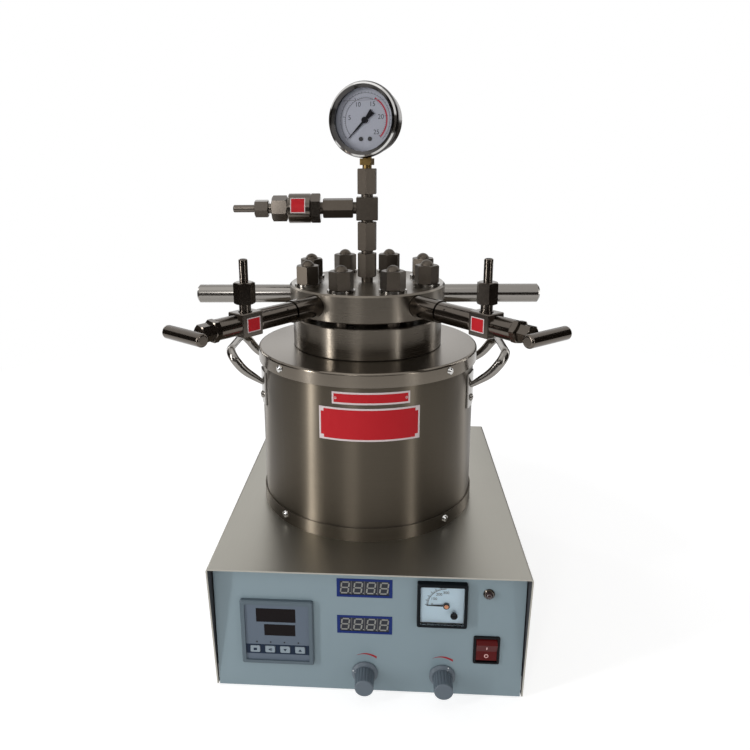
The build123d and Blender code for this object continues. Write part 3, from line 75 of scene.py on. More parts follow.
# ---- places: each turns (across, up, out) in millimetres into metres ---------------------
def on_panel(u, v, w=0.0):
    """u from the panel's middle, v above the bench, w out of the panel."""
    return Vector((PANEL_X + u * MM, PANEL_Y - w * MM, v * MM))


def on_shell(u, v, w=0.0):
    """u as degrees round the vessel's axis, v above the bench, w out of the jacket."""
    a, r = math.radians(u), SHELL_RADIUS + w * MM
    return Vector((r * math.cos(a), r * math.sin(a), v * MM))


def on_dial(u, v, w=0.0):
    """u and v from the gauge's pivot, w in front of its dial plate."""
    look = joint_angle("gauge_swing") + math.pi
    out = Vector((math.cos(look), math.sin(look), 0))
    across = Vector((-out.y, out.x, 0))
    return across * (u * MM) + out * ((DIAL_FACE + w) * MM) + Vector((0, 0, GAUGE_Z + v * MM))


def on_valve_side(name, side):
    """u along the valve from the vessel's axis, v from its centre line, w out of the block."""
    a = joint_angle(name)
    along = Vector((math.cos(a), math.sin(a), 0))
    out = Vector((-along.y, along.x, 0)) * side

    def place(u, v, w=0.0):
        return along * (u * MM) + out * ((BLOCK_SIDE + w) * MM) + Vector((0, 0, VALVE_Z + v * MM))

    return place


def on_arm(u, v, w=0.0):
    """u out along the relief arm, v as degrees up from straight ahead, w off its barrel."""
    turn = math.radians(ARM_TURN)
    along = Vector((-math.cos(turn), -math.sin(turn), 0))
    ahead = Vector((math.sin(turn), -math.cos(turn), 0))
    a, r = math.radians(v), (BARREL_RADIUS + w) * MM
    return along * (u * MM) + ahead * (r * math.cos(a)) + Vector((0, 0, ARM_Z + r * math.sin(a)))


# ---- mesh makers -------------------------------------------------------------------------
def piece_from(name, bm, body, slot, *materials):
    """Turn a bmesh into a named piece that rides on one body."""
    mesh = bpy.data.meshes.new(name)
    bmesh.ops.recalc_face_normals(bm, faces=bm.faces)
    bm.to_mesh(mesh)
    bm.free()
    for material in materials:
        mesh.materials.append(material)
    obj = bpy.data.objects.new(name, mesh)
    bpy.context.scene.collection.objects.link(obj)
    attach(obj, body)
    return obj


def thin_sheet(name, us, vs, place, thick, body, slot, materials, keep=None, paint=None):
    """A sheet of cells between grid lines, following a place; cells can be left out or painted."""
    bm = bmesh.new()
    low = [[bm.verts.new(place(u, v, 0.0)) for v in vs] for u in us]
    top = [[bm.verts.new(place(u, v, thick)) for v in vs] for u in us]
    there = {}
    for i in range(len(us) - 1):
        for j in range(len(vs) - 1):
            u, v = (us[i] + us[i + 1]) / 2, (vs[j] + vs[j + 1]) / 2
            there[i, j] = keep is None or keep(u, v)
    for (i, j), on in there.items():
        if not on:
            continue
        u, v = (us[i] + us[i + 1]) / 2, (vs[j] + vs[j + 1]) / 2
        index = paint(u, v) if paint else 0
        corners = ((i, j), (i + 1, j), (i + 1, j + 1), (i, j + 1))
        for grid in (low, top):
            bm.faces.new([grid[a][b] for a, b in corners]).material_index = index
        beyond = ((i, j - 1), (i + 1, j), (i, j + 1), (i - 1, j))
        for k in range(4):
            if not there.get(beyond[k], False):
                (a, b), (c, d) = corners[k], corners[(k + 1) % 4]
                bm.faces.new((low[a][b], low[c][d], top[c][d], top[a][b])).material_index = index
    bmesh.ops.delete(bm, geom=[v for v in bm.verts if not v.link_faces], context="VERTS")
    return piece_from(name, bm, body, slot, *materials)


def flat_marks(name, outlines, place, low, thick, body, slot, material):
    """Thin prisms on the outlines given, each a list of (u, v) points."""
    bm = bmesh.new()
    for outline in outlines:
        rings = [[bm.verts.new(place(u, v, w)) for u, v in outline] for w in (low, low + thick)]
        for ring in rings:
            bm.faces.new(ring)
        for k in range(len(outline)):
            n = (k + 1) % len(outline)
            bm.faces.new((rings[0][k], rings[0][n], rings[1][n], rings[1][k]))
    return piece_from(name, bm, body, slot, material)


def arc_band(centre, inner, outer, start, end, steps=24):
    """Quads along an arc, as outlines; angles in degrees anticlockwise."""
    found = []
    angles = np.linspace(math.radians(start), math.radians(end), steps + 1)
    for a, b in zip(angles[:-1], angles[1:]):
        found.append([
            (centre[0] + r * math.cos(t), centre[1] + r * math.sin(t))
            for r, t in ((inner, a), (outer, a), (outer, b), (inner, b))
        ])
    return found


def disc(centre, radius, steps=24):
    """A round outline."""
    return [
        (centre[0] + radius * math.cos(2 * math.pi * k / steps),
         centre[1] + radius * math.sin(2 * math.pi * k / steps)) for k in range(steps)
    ]


def tick(centre, angle, inner, outer, width):
    """A short radial bar, as an outline."""
    a = math.radians(angle)
    d, n = (math.cos(a), math.sin(a)), (-math.sin(a), math.cos(a))
    return [
        (centre[0] + r * d[0] + s * width / 2 * n[0], centre[1] + r * d[1] + s * width / 2 * n[1])
        for r, s in ((inner, -1), (outer, -1), (outer, 1), (inner, 1))
    ]


def numeral(name, text, u, v, height, place, body, material, out=0.05):
    """A printed number, centred on its place."""
    curve = bpy.data.curves.new(name, "FONT")
    curve.body = text
    size_over_height = 1.35
    curve.size = height * size_over_height * MM
    curve.align_x, curve.align_y = "CENTER", "CENTER"
    curve.extrude = 0.03 * MM
    curve.materials.append(material)
    obj = bpy.data.objects.new(name, curve)
    origin = place(u, v, out)
    x = (place(u + 1, v, out) - origin).normalized()
    y = (place(u, v + 1, out) - origin).normalized()
    obj.matrix_world = Matrix.Translation(origin) @ Matrix((x, y, x.cross(y))).transposed().to_4x4()
    bpy.context.scene.collection.objects.link(obj)
    bpy.context.view_layer.update()
    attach(obj, body)
    return obj


# ---- shared effects ----------------------------------------------------------------------
def effect(name, inputs, outputs):
    """A shader node group and its input and output nodes, or None for them if it was there."""
    if name in bpy.data.node_groups:
        return bpy.data.node_groups[name], None
    group = bpy.data.node_groups.new(name, "ShaderNodeTree")
    for label, kind, default in inputs:
        socket = group.interface.new_socket(name=label, in_out="INPUT", socket_type=kind)
        if default is not None:
            socket.default_value = default
    for label, kind in outputs:
        group.interface.new_socket(name=label, in_out="OUTPUT", socket_type=kind)
    ends = group.nodes.new("NodeGroupInput"), group.nodes.new("NodeGroupOutput")
    return group, ends


def ramp_node(nodes, links, source, near, far, at_near, at_far):
    """A value that changes evenly from at_near to at_far as the source goes from near to far."""
    ramp = nodes.new("ShaderNodeMapRange")
    links.new(source, ramp.inputs["Value"])
    for name, value in (("From Min", near), ("From Max", far), ("To Min", at_near), ("To Max", at_far)):
        ramp.inputs[name].default_value = value
    return ramp.outputs["Result"]


def math_node(nodes, operation, clamp=False, second=None):
    """A Math node, with its second value set if one is given."""
    node = nodes.new("ShaderNodeMath")
    node.operation, node.use_clamp = operation, clamp
    if second is not None:
        node.inputs[1].default_value = second
    return node


def vary_surface(group, ends, variation, relief, bump_height):
    """Swing an effect's colour and roughness by a variation round 0, and raise its relief."""
    nodes, links = group.nodes, group.links
    given, out = ends
    swing = math_node(nodes, "MULTIPLY")
    links.new(variation, swing.inputs[0])
    links.new(given.outputs["Spread"], swing.inputs[1])
    level = math_node(nodes, "ADD", second=1.0)
    links.new(swing.outputs[0], level.inputs[0])
    tint = nodes.new("ShaderNodeVectorMath")
    tint.operation = "SCALE"
    links.new(given.outputs["Base"], tint.inputs[0])
    links.new(level.outputs[0], tint.inputs["Scale"])
    links.new(tint.outputs[0], out.inputs["Colour"])
    rough = math_node(nodes, "MULTIPLY", clamp=True)
    links.new(given.outputs["Roughness"], rough.inputs[0])
    links.new(level.outputs[0], rough.inputs[1])
    links.new(rough.outputs[0], out.inputs["Roughness"])
    bump = nodes.new("ShaderNodeBump")
    bump.inputs["Distance"].default_value = bump_height
    links.new(given.outputs["Depth"], bump.inputs["Strength"])
    links.new(relief, bump.inputs["Height"])
    links.new(bump.outputs[0], out.inputs["Normal"])


def grain_effect():
    """Fine lines left by brushing or turning, stretched along one direction."""
    group, ends = effect(
        "Tool marks",
        (("Stretch", "NodeSocketVector", (30.0, 30.0, 2500.0)), ("Depth", "NodeSocketFloat", 0.05),
         ("Base", "NodeSocketColor", (0.5, 0.5, 0.5, 1)), ("Spread", "NodeSocketFloat", 0.2),
         ("Roughness", "NodeSocketFloat", 0.25)),
        (("Colour", "NodeSocketColor"), ("Roughness", "NodeSocketFloat"), ("Normal", "NodeSocketVector")),
    )
    if ends is None:
        return group
    nodes, links = group.nodes, group.links
    given = ends[0]
    where = nodes.new("ShaderNodeTexCoord")
    scaled = nodes.new("ShaderNodeVectorMath")
    scaled.operation = "MULTIPLY"
    links.new(where.outputs["Object"], scaled.inputs[0])
    links.new(given.outputs["Stretch"], scaled.inputs[1])
    lines = nodes.new("ShaderNodeTexNoise")
    lines.inputs["Scale"].default_value = 1.0
    lines.inputs["Detail"].default_value = 3.0
    links.new(scaled.outputs[0], lines.inputs["Vector"])
    smudge = nodes.new("ShaderNodeTexNoise")
    smudge.inputs["Scale"].default_value = 14.0
    smudge.inputs["Detail"].default_value = 4.0
    links.new(where.outputs["Object"], smudge.inputs["Vector"])
    both = math_node(nodes, "ADD")
    links.new(lines.outputs["Fac"], both.inputs[0])
    links.new(smudge.outputs["Fac"], both.inputs[1])
    centred = math_node(nodes, "SUBTRACT", second=1.0)
    links.new(both.outputs[0], centred.inputs[0])
    vary_surface(group, ends, centred.outputs[0], lines.outputs["Fac"], 0.0002)
    return group


def mould_effect():
    """Fine orange-peel of moulded plastic and paint, with a slight change of shade."""
    group, ends = effect(
        "Moulded skin",
        (("Base", "NodeSocketColor", (0.5, 0.5, 0.5, 1)), ("Spread", "NodeSocketFloat", 0.06),
         ("Roughness", "NodeSocketFloat", 0.4), ("Scale", "NodeSocketFloat", 1500.0),
         ("Depth", "NodeSocketFloat", 0.08)),
        (("Colour", "NodeSocketColor"), ("Roughness", "NodeSocketFloat"), ("Normal", "NodeSocketVector")),
    )
    if ends is None:
        return group
    nodes, links = group.nodes, group.links
    given = ends[0]
    where = nodes.new("ShaderNodeTexCoord")
    fine = nodes.new("ShaderNodeTexNoise")
    links.new(where.outputs["Object"], fine.inputs["Vector"])
    links.new(given.outputs["Scale"], fine.inputs["Scale"])
    wide = nodes.new("ShaderNodeTexNoise")
    wide.inputs["Scale"].default_value = 9.0
    links.new(where.outputs["Object"], wide.inputs["Vector"])
    centred = math_node(nodes, "SUBTRACT", second=0.5)
    links.new(wide.outputs["Fac"], centred.inputs[0])
    vary_surface(group, ends, centred.outputs[0], fine.outputs["Fac"], 0.0001)
    return group


def new_material(name):
    """A new material and its Principled BSDF, or None for the shader if it was there."""
    material = bpy.data.materials.get(name)
    if material:
        return material, None
    material = bpy.data.materials.new(name)
    material.use_nodes = True
    return material, material.node_tree.nodes["Principled BSDF"]


def place_effect(material, shader, group, values):
    """Put a shared effect in front of a shader, with this material's own values."""
    nodes, links = material.node_tree.nodes, material.node_tree.links
    node = nodes.new("ShaderNodeGroup")
    node.node_tree = group
    for name, value in values.items():
        node.inputs[name].default_value = value
    for source, target in (("Colour", "Base Color"), ("Roughness", "Roughness"), ("Normal", "Normal")):
        links.new(node.outputs[source], shader.inputs[target])


def metal(name, colour, rough, stretch=(30.0, 30.0, 2500.0), depth=0.05, spread=0.2, aniso=0.0):
    """Bare metal with the marks of its tool."""
    material, shader = new_material(name)
    if shader is None:
        return material
    place_effect(material, shader, grain_effect(), {
        "Stretch": stretch, "Depth": depth, "Base": (*colour, 1), "Spread": spread, "Roughness": rough})
    shader.inputs["Metallic"].default_value = 1.0
    shader.inputs["Anisotropic"].default_value = aniso
    if aniso:
        shader.inputs["Anisotropic Rotation"].default_value = 0.25
        tangent = material.node_tree.nodes.new("ShaderNodeTangent")
        tangent.direction_type, tangent.axis = "RADIAL", "Z"
        material.node_tree.links.new(tangent.outputs[0], shader.inputs["Tangent"])
    return material


def moulded(name, colour, rough=0.4, scale=1500.0, depth=0.08, coat=0.0, shine=0.35):
    """Plastic, paint, rubber, print or another plain skin."""
    material, shader = new_material(name)
    if shader is None:
        return material
    place_effect(material, shader, mould_effect(), {
        "Base": (*colour, 1), "Roughness": rough, "Scale": scale, "Depth": depth})
    shader.inputs["Specular IOR Level"].default_value = shine
    shader.inputs["Coat Weight"].default_value = coat
    shader.inputs["Coat Roughness"].default_value = 0.08
    return material


def window_glass(name):
    """Thin clear pane: a mirror as strong as its Fresnel reflection, and otherwise see-through."""
    material, shader = new_material(name)
    if shader is None:
        return material
    edge = material.node_tree.nodes.new("ShaderNodeFresnel")
    edge.inputs["IOR"].default_value = 1.22
    material.node_tree.links.new(edge.outputs[0], shader.inputs["Alpha"])
    shader.inputs["Base Color"].default_value = (0.95, 0.97, 0.98, 1)
    shader.inputs["Metallic"].default_value = 1.0
    shader.inputs["Roughness"].default_value = 0.02
    return material


def finish_nodes(material, *names):
    """Give whole CAD pieces one finish."""
    for name in names:
        mesh = frame["nodes"][name].data
        mesh.materials.clear()
        mesh.materials.append(material)


def finish_faces(node, material, test):
    """Give some faces of a CAD piece a second finish; test takes a face's centre and normal."""
    mesh = frame["nodes"][node].data
    mesh.materials.append(material)
    index = len(mesh.materials) - 1
    for face in mesh.polygons:
        if test(face.center, face.normal):
            face.material_index = index


# ---- settings ----------------------------------------------------------------------------
def colour_setting(label, text, value):
    """A colour that the user can change."""
    return FloatVectorProperty(name=label, description=text, default=value, size=3, min=0, max=1,
                               subtype="COLOR")


def length_setting(label, text, value):
    """A length in millimetres that the user can change."""
    return FloatProperty(name=label, description=text, default=value, min=0.0, unit="NONE")


class REACTOR_PG_metals(bpy.types.PropertyGroup):
    """Colours of the bare metal."""

    sheet: colour_setting("Cabinet sheet", "Brushed sheet of the cover", (0.38, 0.365, 0.325))
    jacket: colour_setting("Jacket", "Rolled sheet of the heating jacket", (0.118, 0.100, 0.077))
    cap: colour_setting("Jacket cap", "Spun cap of the jacket", (0.165, 0.143, 0.117))
    vessel: colour_setting("Vessel", "Turned flange and lid", (0.16, 0.140, 0.115))
    fitting: colour_setting("Fittings", "Couplings, nuts and tee", (0.088, 0.074, 0.060))
    turned: colour_setting("Turned steel", "Valve bodies, spindles and tubes", (0.115, 0.099, 0.084))
    rod: colour_setting("Rods", "Carrying rods, washers and handles", (0.24, 0.225, 0.206))
    bright: colour_setting("Bright steel", "Crest of the gauge bezel, screws", (0.56, 0.55, 0.535))
    brass: colour_setting("Brass", "Socket of the pressure gauge", (0.17, 0.112, 0.040))


class REACTOR_PG_panel(bpy.types.PropertyGroup):
    """Colours and sizes on the control panel."""

    paint: colour_setting("Panel paint", "Light blue-grey enamel", (0.205, 0.270, 0.302))
    frame_blue: colour_setting("Display frame", "Printed frame round each display", (0.007, 0.022, 0.135))
    navy: colour_setting("Key strip", "Strip behind the controller's keys", (0.005, 0.014, 0.034))
    red: colour_setting("Red print", "Crescents over the knobs", (0.30, 0.008, 0.016))
    grey: colour_setting("Knob grey", "Moulded knobs", (0.105, 0.130, 0.155))
    digit_height: length_setting("Digit height", "Height of a display digit", 11.8)
    digit_pitch: length_setting("Digit pitch", "Distance between display digits", 12.7)


class REACTOR_PG_labels(bpy.types.PropertyGroup):
    """Bare red plates on the jacket and the fittings."""

    red: colour_setting("Plate red", "Face of the plates", (0.42, 0.010, 0.016))
    border: colour_setting("Plate border", "Line round the plates", (0.58, 0.50, 0.50))
    border_width: length_setting("Border width", "Width of the border line", 1.3)
    thickness: length_setting("Thickness", "Thickness of a plate", 0.35)


class REACTOR_PG_dials(bpy.types.PropertyGroup):
    """Printing on the two dials."""

    plate: colour_setting("Gauge dial", "Enamelled plate of the gauge", (0.32, 0.33, 0.38))
    meter_plate: colour_setting("Voltmeter dial", "Card of the voltmeter", (0.62, 0.78, 0.88))
    ink: colour_setting("Ink", "Scales and numbers", (0.012, 0.012, 0.014))
    red_arc: colour_setting("Red arc", "Upper part of the gauge's scale", (0.33, 0.01, 0.03))
    gauge_full: IntProperty(name="Full scale", description="Highest number on the gauge", default=25,
                            min=5, max=100)


class REACTOR_PG_stage(bpy.types.PropertyGroup):
    """Floor, lamps and camera."""

    floor: colour_setting("Floor", "Pale floor", (0.86, 0.86, 0.86))
    lens: FloatProperty(name="Lens", description="Focal length of the camera", default=31.876,
                        min=10.0, max=200.0, unit="CAMERA")
    shift: FloatVectorProperty(name="Shift", description="Shift of the picture across and up",
                               default=(0.03835, -0.0600), size=2)
    camera_at: FloatVectorProperty(name="Camera", description="Place of the camera", size=3,
                                   default=(0.026216, -0.720028, 0.519266), subtype="TRANSLATION",
                                   unit="LENGTH")
    camera_turn: FloatVectorProperty(name="Camera turn", description="Tilt, roll and heading", size=3,
                                     default=[math.radians(a) for a in (75.67866, 0.49479, 3.82475)],
                                     subtype="EULER", unit="ROTATION")
    lamp_power: FloatProperty(name="Lamp power", description="Power of a soft strip with share 1",
                              default=3.0, min=0.0, unit="POWER")
    floor_near: FloatProperty(name="Near floor", description="Radius in which the shadow is full",
                              default=0.45, min=0.0, unit="LENGTH")
    floor_far: FloatProperty(name="Far floor", description="Radius from which the floor is white",
                             default=1.30, min=0.0, unit="LENGTH")


def settings(name):
    """One of the reactor's groups of settings."""
    return getattr(bpy.context.scene, "reactor_" + name)


def steel(kind):
    """The bare metals, each made once from the settings."""
    tone = tuple(getattr(settings("metals"), kind))
    table = {
        "sheet": dict(rough=0.34, stretch=(1800.0, 20.0, 20.0), depth=0.03, spread=0.08),
        "jacket": dict(rough=0.38, stretch=(25.0, 25.0, 2200.0), depth=0.02, spread=0.16, aniso=1.0),
        "cap": dict(rough=0.24, stretch=(25.0, 25.0, 1500.0), depth=0.04, spread=0.12, aniso=0.7),
        "vessel": dict(rough=0.28, stretch=(25.0, 25.0, 3000.0), depth=0.05, spread=0.14, aniso=0.9),
        "fitting": dict(rough=0.40, stretch=(500.0, 500.0, 500.0), depth=0.06, spread=0.22),
        "turned": dict(rough=0.17, stretch=(500.0, 500.0, 500.0), depth=0.04, spread=0.20),
        "rod": dict(rough=0.17, stretch=(500.0, 500.0, 500.0), depth=0.03, spread=0.12),
        "bright": dict(rough=0.12, stretch=(300.0, 300.0, 300.0), depth=0.02, spread=0.10),
        "brass": dict(rough=0.30, stretch=(500.0, 500.0, 500.0), depth=0.06, spread=0.25),
    }
    return metal("steel_" + kind, tone, **table[kind])


def ink():
    """Black print."""
    return moulded("ink", tuple(settings("dials").ink), 0.5)


def pointer_lacquer():
    """Black lacquer on both pointers."""
    return moulded("pointer_lacquer", (0.006, 0.006, 0.008), 0.3, shine=0.10)


def plate_paints():
    """The red face and the pale border of the bare plates."""
    label = settings("labels")
    return (moulded("plate_red", tuple(label.red), 0.35, 900.0, 0.03, shine=0.15),
            moulded("plate_border", tuple(label.border), 0.4))


# ---- operators ---------------------------------------------------------------------------
class REACTOR_OT_cabinet(bpy.types.Operator):
    """Finish the folded cabinet, its panels, feet and gland"""

    bl_idname = "reactor.cabinet"
    bl_label = "Cabinet"

    def execute(self, context):
        finish_nodes(steel("sheet"), "cover", "back_panel")
        # Painted shade: the inner faces of the cover's side walls are the same steel, but are made
        # near-black for the shadowed strip beside the recessed panel.
        inner_wall_shade = moulded("cover_lining", (0.045, 0.045, 0.05), 0.5)
        low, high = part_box("cover")
        inside = (high.x - low.x) / 2 - 0.8 * MM
        finish_faces("cover", inner_wall_shade, lambda c, n: abs(n.x) > 0.9 and abs(c.x - PANEL_X) < inside)
        finish_nodes(moulded("panel_enamel", tuple(settings("panel").paint), 0.38, 900.0, 0.05, 0.15),
                     "front_panel")
        finish_nodes(metal("plated_sheet", (0.5, 0.5, 0.5), 0.35, spread=0.1), "base_tray")
        finish_nodes(moulded("black_rubber", (0.02, 0.02, 0.02), 0.7, 800.0, 0.2), "feet")
        finish_nodes(moulded("gland_nylon", (0.02, 0.02, 0.022), 0.45), "cable_gland")
        finish_nodes(steel("bright"), "sheet_screws")
        return {"FINISHED"}


class REACTOR_OT_inner_works(bpy.types.Operator):
    """Finish the drive, the board, the heater and the liner inside"""

    bl_idname = "reactor.inner_works"
    bl_label = "Inner works"

    def execute(self, context):
        finish_nodes(moulded("motor_enamel", (0.07, 0.075, 0.08), 0.4), "stir_motor")
        finish_nodes(metal("plated_sheet", (0.5, 0.5, 0.5), 0.35), "motor_bracket", "magnet_rotor",
                     "potentiometers")
        finish_nodes(moulded("board_lacquer", (0.01, 0.12, 0.05), 0.3, coat=0.4), "control_board")
        finish_nodes(moulded("fibre_wool", (0.70, 0.68, 0.62), 0.95, 300.0, 0.6), "insulation")
        finish_nodes(moulded("fired_ceramic", (0.62, 0.55, 0.45), 0.85, 500.0, 0.3), "heater_tube")
        finish_nodes(moulded("white_fluoropolymer", (0.84, 0.84, 0.82), 0.45), "liner", "stir_bar", "gasket")
        return {"FINISHED"}


class REACTOR_OT_jacket(bpy.types.Operator):
    """Finish the heating jacket and its loop handles"""

    bl_idname = "reactor.jacket"
    bl_label = "Heating jacket"

    def execute(self, context):
        finish_nodes(steel("jacket"), "jacket_shell", "base_ring")
        finish_nodes(steel("cap"), "jacket_cap")
        finish_nodes(steel("rod"), "handles", "handle_rivets")
        return {"FINISHED"}


class REACTOR_OT_jacket_plates(bpy.types.Operator):
    """Fix the two bare red plates to the jacket"""

    bl_idname = "reactor.jacket_plates"
    bl_label = "Jacket plates"

    def execute(self, context):
        label = settings("labels")
        red, pale = plate_paints()
        degree = math.degrees(MM / SHELL_RADIUS)    # degrees round the jacket for each millimetre
        edge, line, glue, cell = 0.5, label.border_width, 0.05, 4.0

        def plate(name, left, right, low, high, notch):
            """A plate between two directions and two heights, with its corners notched."""
            cuts = [0.0, edge, edge + line, notch, notch + line, notch + 2 * line]
            wide = (right - left) / degree
            across = sorted(set(
                [left + c * degree for c in cuts] + [right - c * degree for c in cuts]
                + list(np.linspace(left + 10 * degree, right - 10 * degree, max(8, int(wide / cell))))))
            up = sorted(set([low + c for c in cuts] + [high - c for c in cuts]))

            def inset(u, v):
                return (min(u - left, right - u) / degree, min(v - low, high - v))

            def paint(u, v):
                a, b = inset(u, v)
                if min(a, b) < edge + line:
                    return 1
                if notch > 3 and a < notch + line and b < notch + line and max(a, b) > notch:
                    return 1
                return 1 if notch > 3 and a < notch and b < notch else 0

            thin_sheet(name, across, up, lambda u, v, w: on_shell(u, v, w + glue), label.thickness,
                       "base", "red_plastic", (red, pale), paint=paint)

        plate("jacket_plate_upper", left=-104.9, right=-67.3, low=290.5, high=303.0, notch=2.6)
        plate("jacket_plate_lower", left=-111.6, right=-62.0, low=252.4, high=286.6, notch=3.6)
        eye_height, eye_inner, eye_outer = 296.6, 0.75, 1.25
        rings = []
        for middle in (-103.2, -69.0):
            band = arc_band((0, 0), eye_inner, eye_outer, 0, 360, 16)
            rings += [[(middle + u * degree, eye_height + v) for u, v in quad] for quad in band]
        flat_marks("jacket_plate_eyes", rings, on_shell, 0.4, 0.08, "base", "red_plastic", pale)
        return {"FINISHED"}


class REACTOR_OT_fitting_plates(bpy.types.Operator):
    """Fix the small bare red plates to the valves and the relief arm"""

    bl_idname = "reactor.fitting_plates"
    bl_label = "Fitting plates"

    def execute(self, context):
        paints, thick, line = plate_paints(), settings("labels").thickness, 0.8

        def small_plate(name, us, vs, place):
            """A plate on a fitting, pale in its outer rows of cells and red inside them."""
            thin_sheet(name, us, vs, place, thick, "base", "red_plastic", paints,
                       paint=lambda u, v: 0 if us[1] < u < us[-2] and vs[1] < v < vs[-2] else 1)

        start, end, half = 168.0, 183.5, 6.6
        for side, turn in (("left", 1), ("right", -1)):
            small_plate(f"{side}_valve_plate", [start, start + line, end - line, end],
                        [-half, -half + line, half - line, half],
                        on_valve_side(f"{side}_valve_turn", turn))
        start, end = 65.0, 80.6
        small_plate("relief_plate", [start, start + line, end - line, end],
                    [-14.0, -11.0, *np.linspace(-6, 38, 10), 42.0, 45.0], on_arm)
        return {"FINISHED"}


class REACTOR_OT_vessel(bpy.types.Operator):
    """Finish the vessel, its lid, studs, nuts and carrying rods"""

    bl_idname = "reactor.vessel"
    bl_label = "Vessel and lid"

    def execute(self, context):
        finish_nodes(steel("vessel"), "vessel", "lid")
        finish_nodes(steel("fitting"), "studs", "nuts")
        finish_nodes(steel("rod"), "washers", "carry_rods")
        return {"FINISHED"}


class REACTOR_OT_fittings(bpy.types.Operator):
    """Finish the column, the relief arm and the needle valves"""

    bl_idname = "reactor.fittings"
    bl_label = "Fittings"

    def execute(self, context):
        finish_nodes(steel("fitting"), "column_couplings", "tee_block")
        finish_nodes(steel("turned"), "relief_holder", "outlet_tubes", "valve_connectors",
                     "valve_blocks", "left_valve_spindle", "right_valve_spindle", "outlet_nuts")
        finish_nodes(steel("brass"), "gauge_stem")
        return {"FINISHED"}


class REACTOR_OT_gauge(bpy.types.Operator):
    """Finish the pressure gauge and print its dial"""

    bl_idname = "reactor.gauge"
    bl_label = "Pressure gauge"

    def execute(self, context):
        dials = settings("dials")
        finish_nodes(steel("bright"), "gauge_bezel")
        seat = on_dial(0.0, 0.0)
        axis = (on_dial(0.0, 0.0, 1.0) - seat).normalized()

        def off_crest(c, n):
            """Flanks of the bezel on both sides of its polished crest, which get a painted dark reflection.
            """
            depth = (c - seat).dot(axis) / MM
            out = ((c - seat) - axis * depth * MM).length / MM
            return not (35.0 < out < 36.4 and depth > 9.0)

        # Painted reflection and shade: the chrome bezel's flanks get a near-black copy of its steel, so that
        # only the crest shows as a bright ring.
        finish_faces("gauge_bezel", metal("dark_chrome", (0.065, 0.062, 0.060), 0.16), off_crest)
        finish_nodes(metal("case_steel", (0.30, 0.29, 0.28), 0.22), "gauge_case")
        finish_nodes(window_glass("gauge_window"), "gauge_glass")
        finish_nodes(moulded("dial_enamel", tuple(dials.plate), 0.35, coat=0.2), "gauge_dial")
        finish_nodes(pointer_lacquer(), "gauge_pointer")
        black, red = ink(), moulded("dial_red", tuple(dials.red_arc), 0.45)
        middle, full = (0.0, 0.0), dials.gauge_full
        zero, end = 225, -45                    # directions of the scale's two ends, in degrees
        each = (zero - end) / full
        red_from = zero - 15 * each
        inner_line, outer_line, red_band = (21.4, 21.8), (26.5, 26.8), (22.6, 24.2)
        number_radius, number_height, outer_ticks = 17.2, 4.9, 36
        marks = arc_band(middle, *inner_line, red_from, zero, 36)
        marks += arc_band(middle, *outer_line, end, zero, 60)
        for i in range(full * 2 + 1):
            reach, width = (24.6, 0.6) if i % 10 == 0 else (23.1, 0.32)
            marks.append(tick(middle, zero - i * each / 2, inner_line[0], reach, width))
        for i in range(outer_ticks):
            marks.append(tick(middle, zero - i * (zero - end) / outer_ticks, 26.6, 27.9, 0.35))
        flat_marks("gauge_scale", marks, on_dial, 0.02, 0.05, "base", "pointer_black", black)
        flat_marks("gauge_red_arc", arc_band(middle, *red_band, end, red_from, 30), on_dial, 0.06, 0.05,
                   "base", "red_plastic", red)
        for number in range(5, full + 1, 5):
            a = math.radians(zero - number * each)
            numeral(f"gauge_number_{number}", str(number), number_radius * math.cos(a),
                    number_radius * math.sin(a), number_height, on_dial, "base", black)
        flat_marks("gauge_dial_screws", [disc((-4.6, -18.6), 2.2), disc((5.2, -18.6), 2.2)], on_dial,
                   0.02, 0.8, "base", "pointer_black", black)
        liquid = moulded("liquid_edge", (0.22, 0.22, 0.24), 0.1, coat=0.5)
        dial_radius, level, line = 31.0, 19.6, 0.3
        half, low, high = math.sqrt(dial_radius ** 2 - level ** 2), level - line, level + line
        flat_marks("gauge_liquid_edge", [[(-half, low), (half, low), (half, high), (-half, high)]],
                   on_dial, 0.1, 0.1, "base", "clear_glass", liquid)
        return {"FINISHED"}


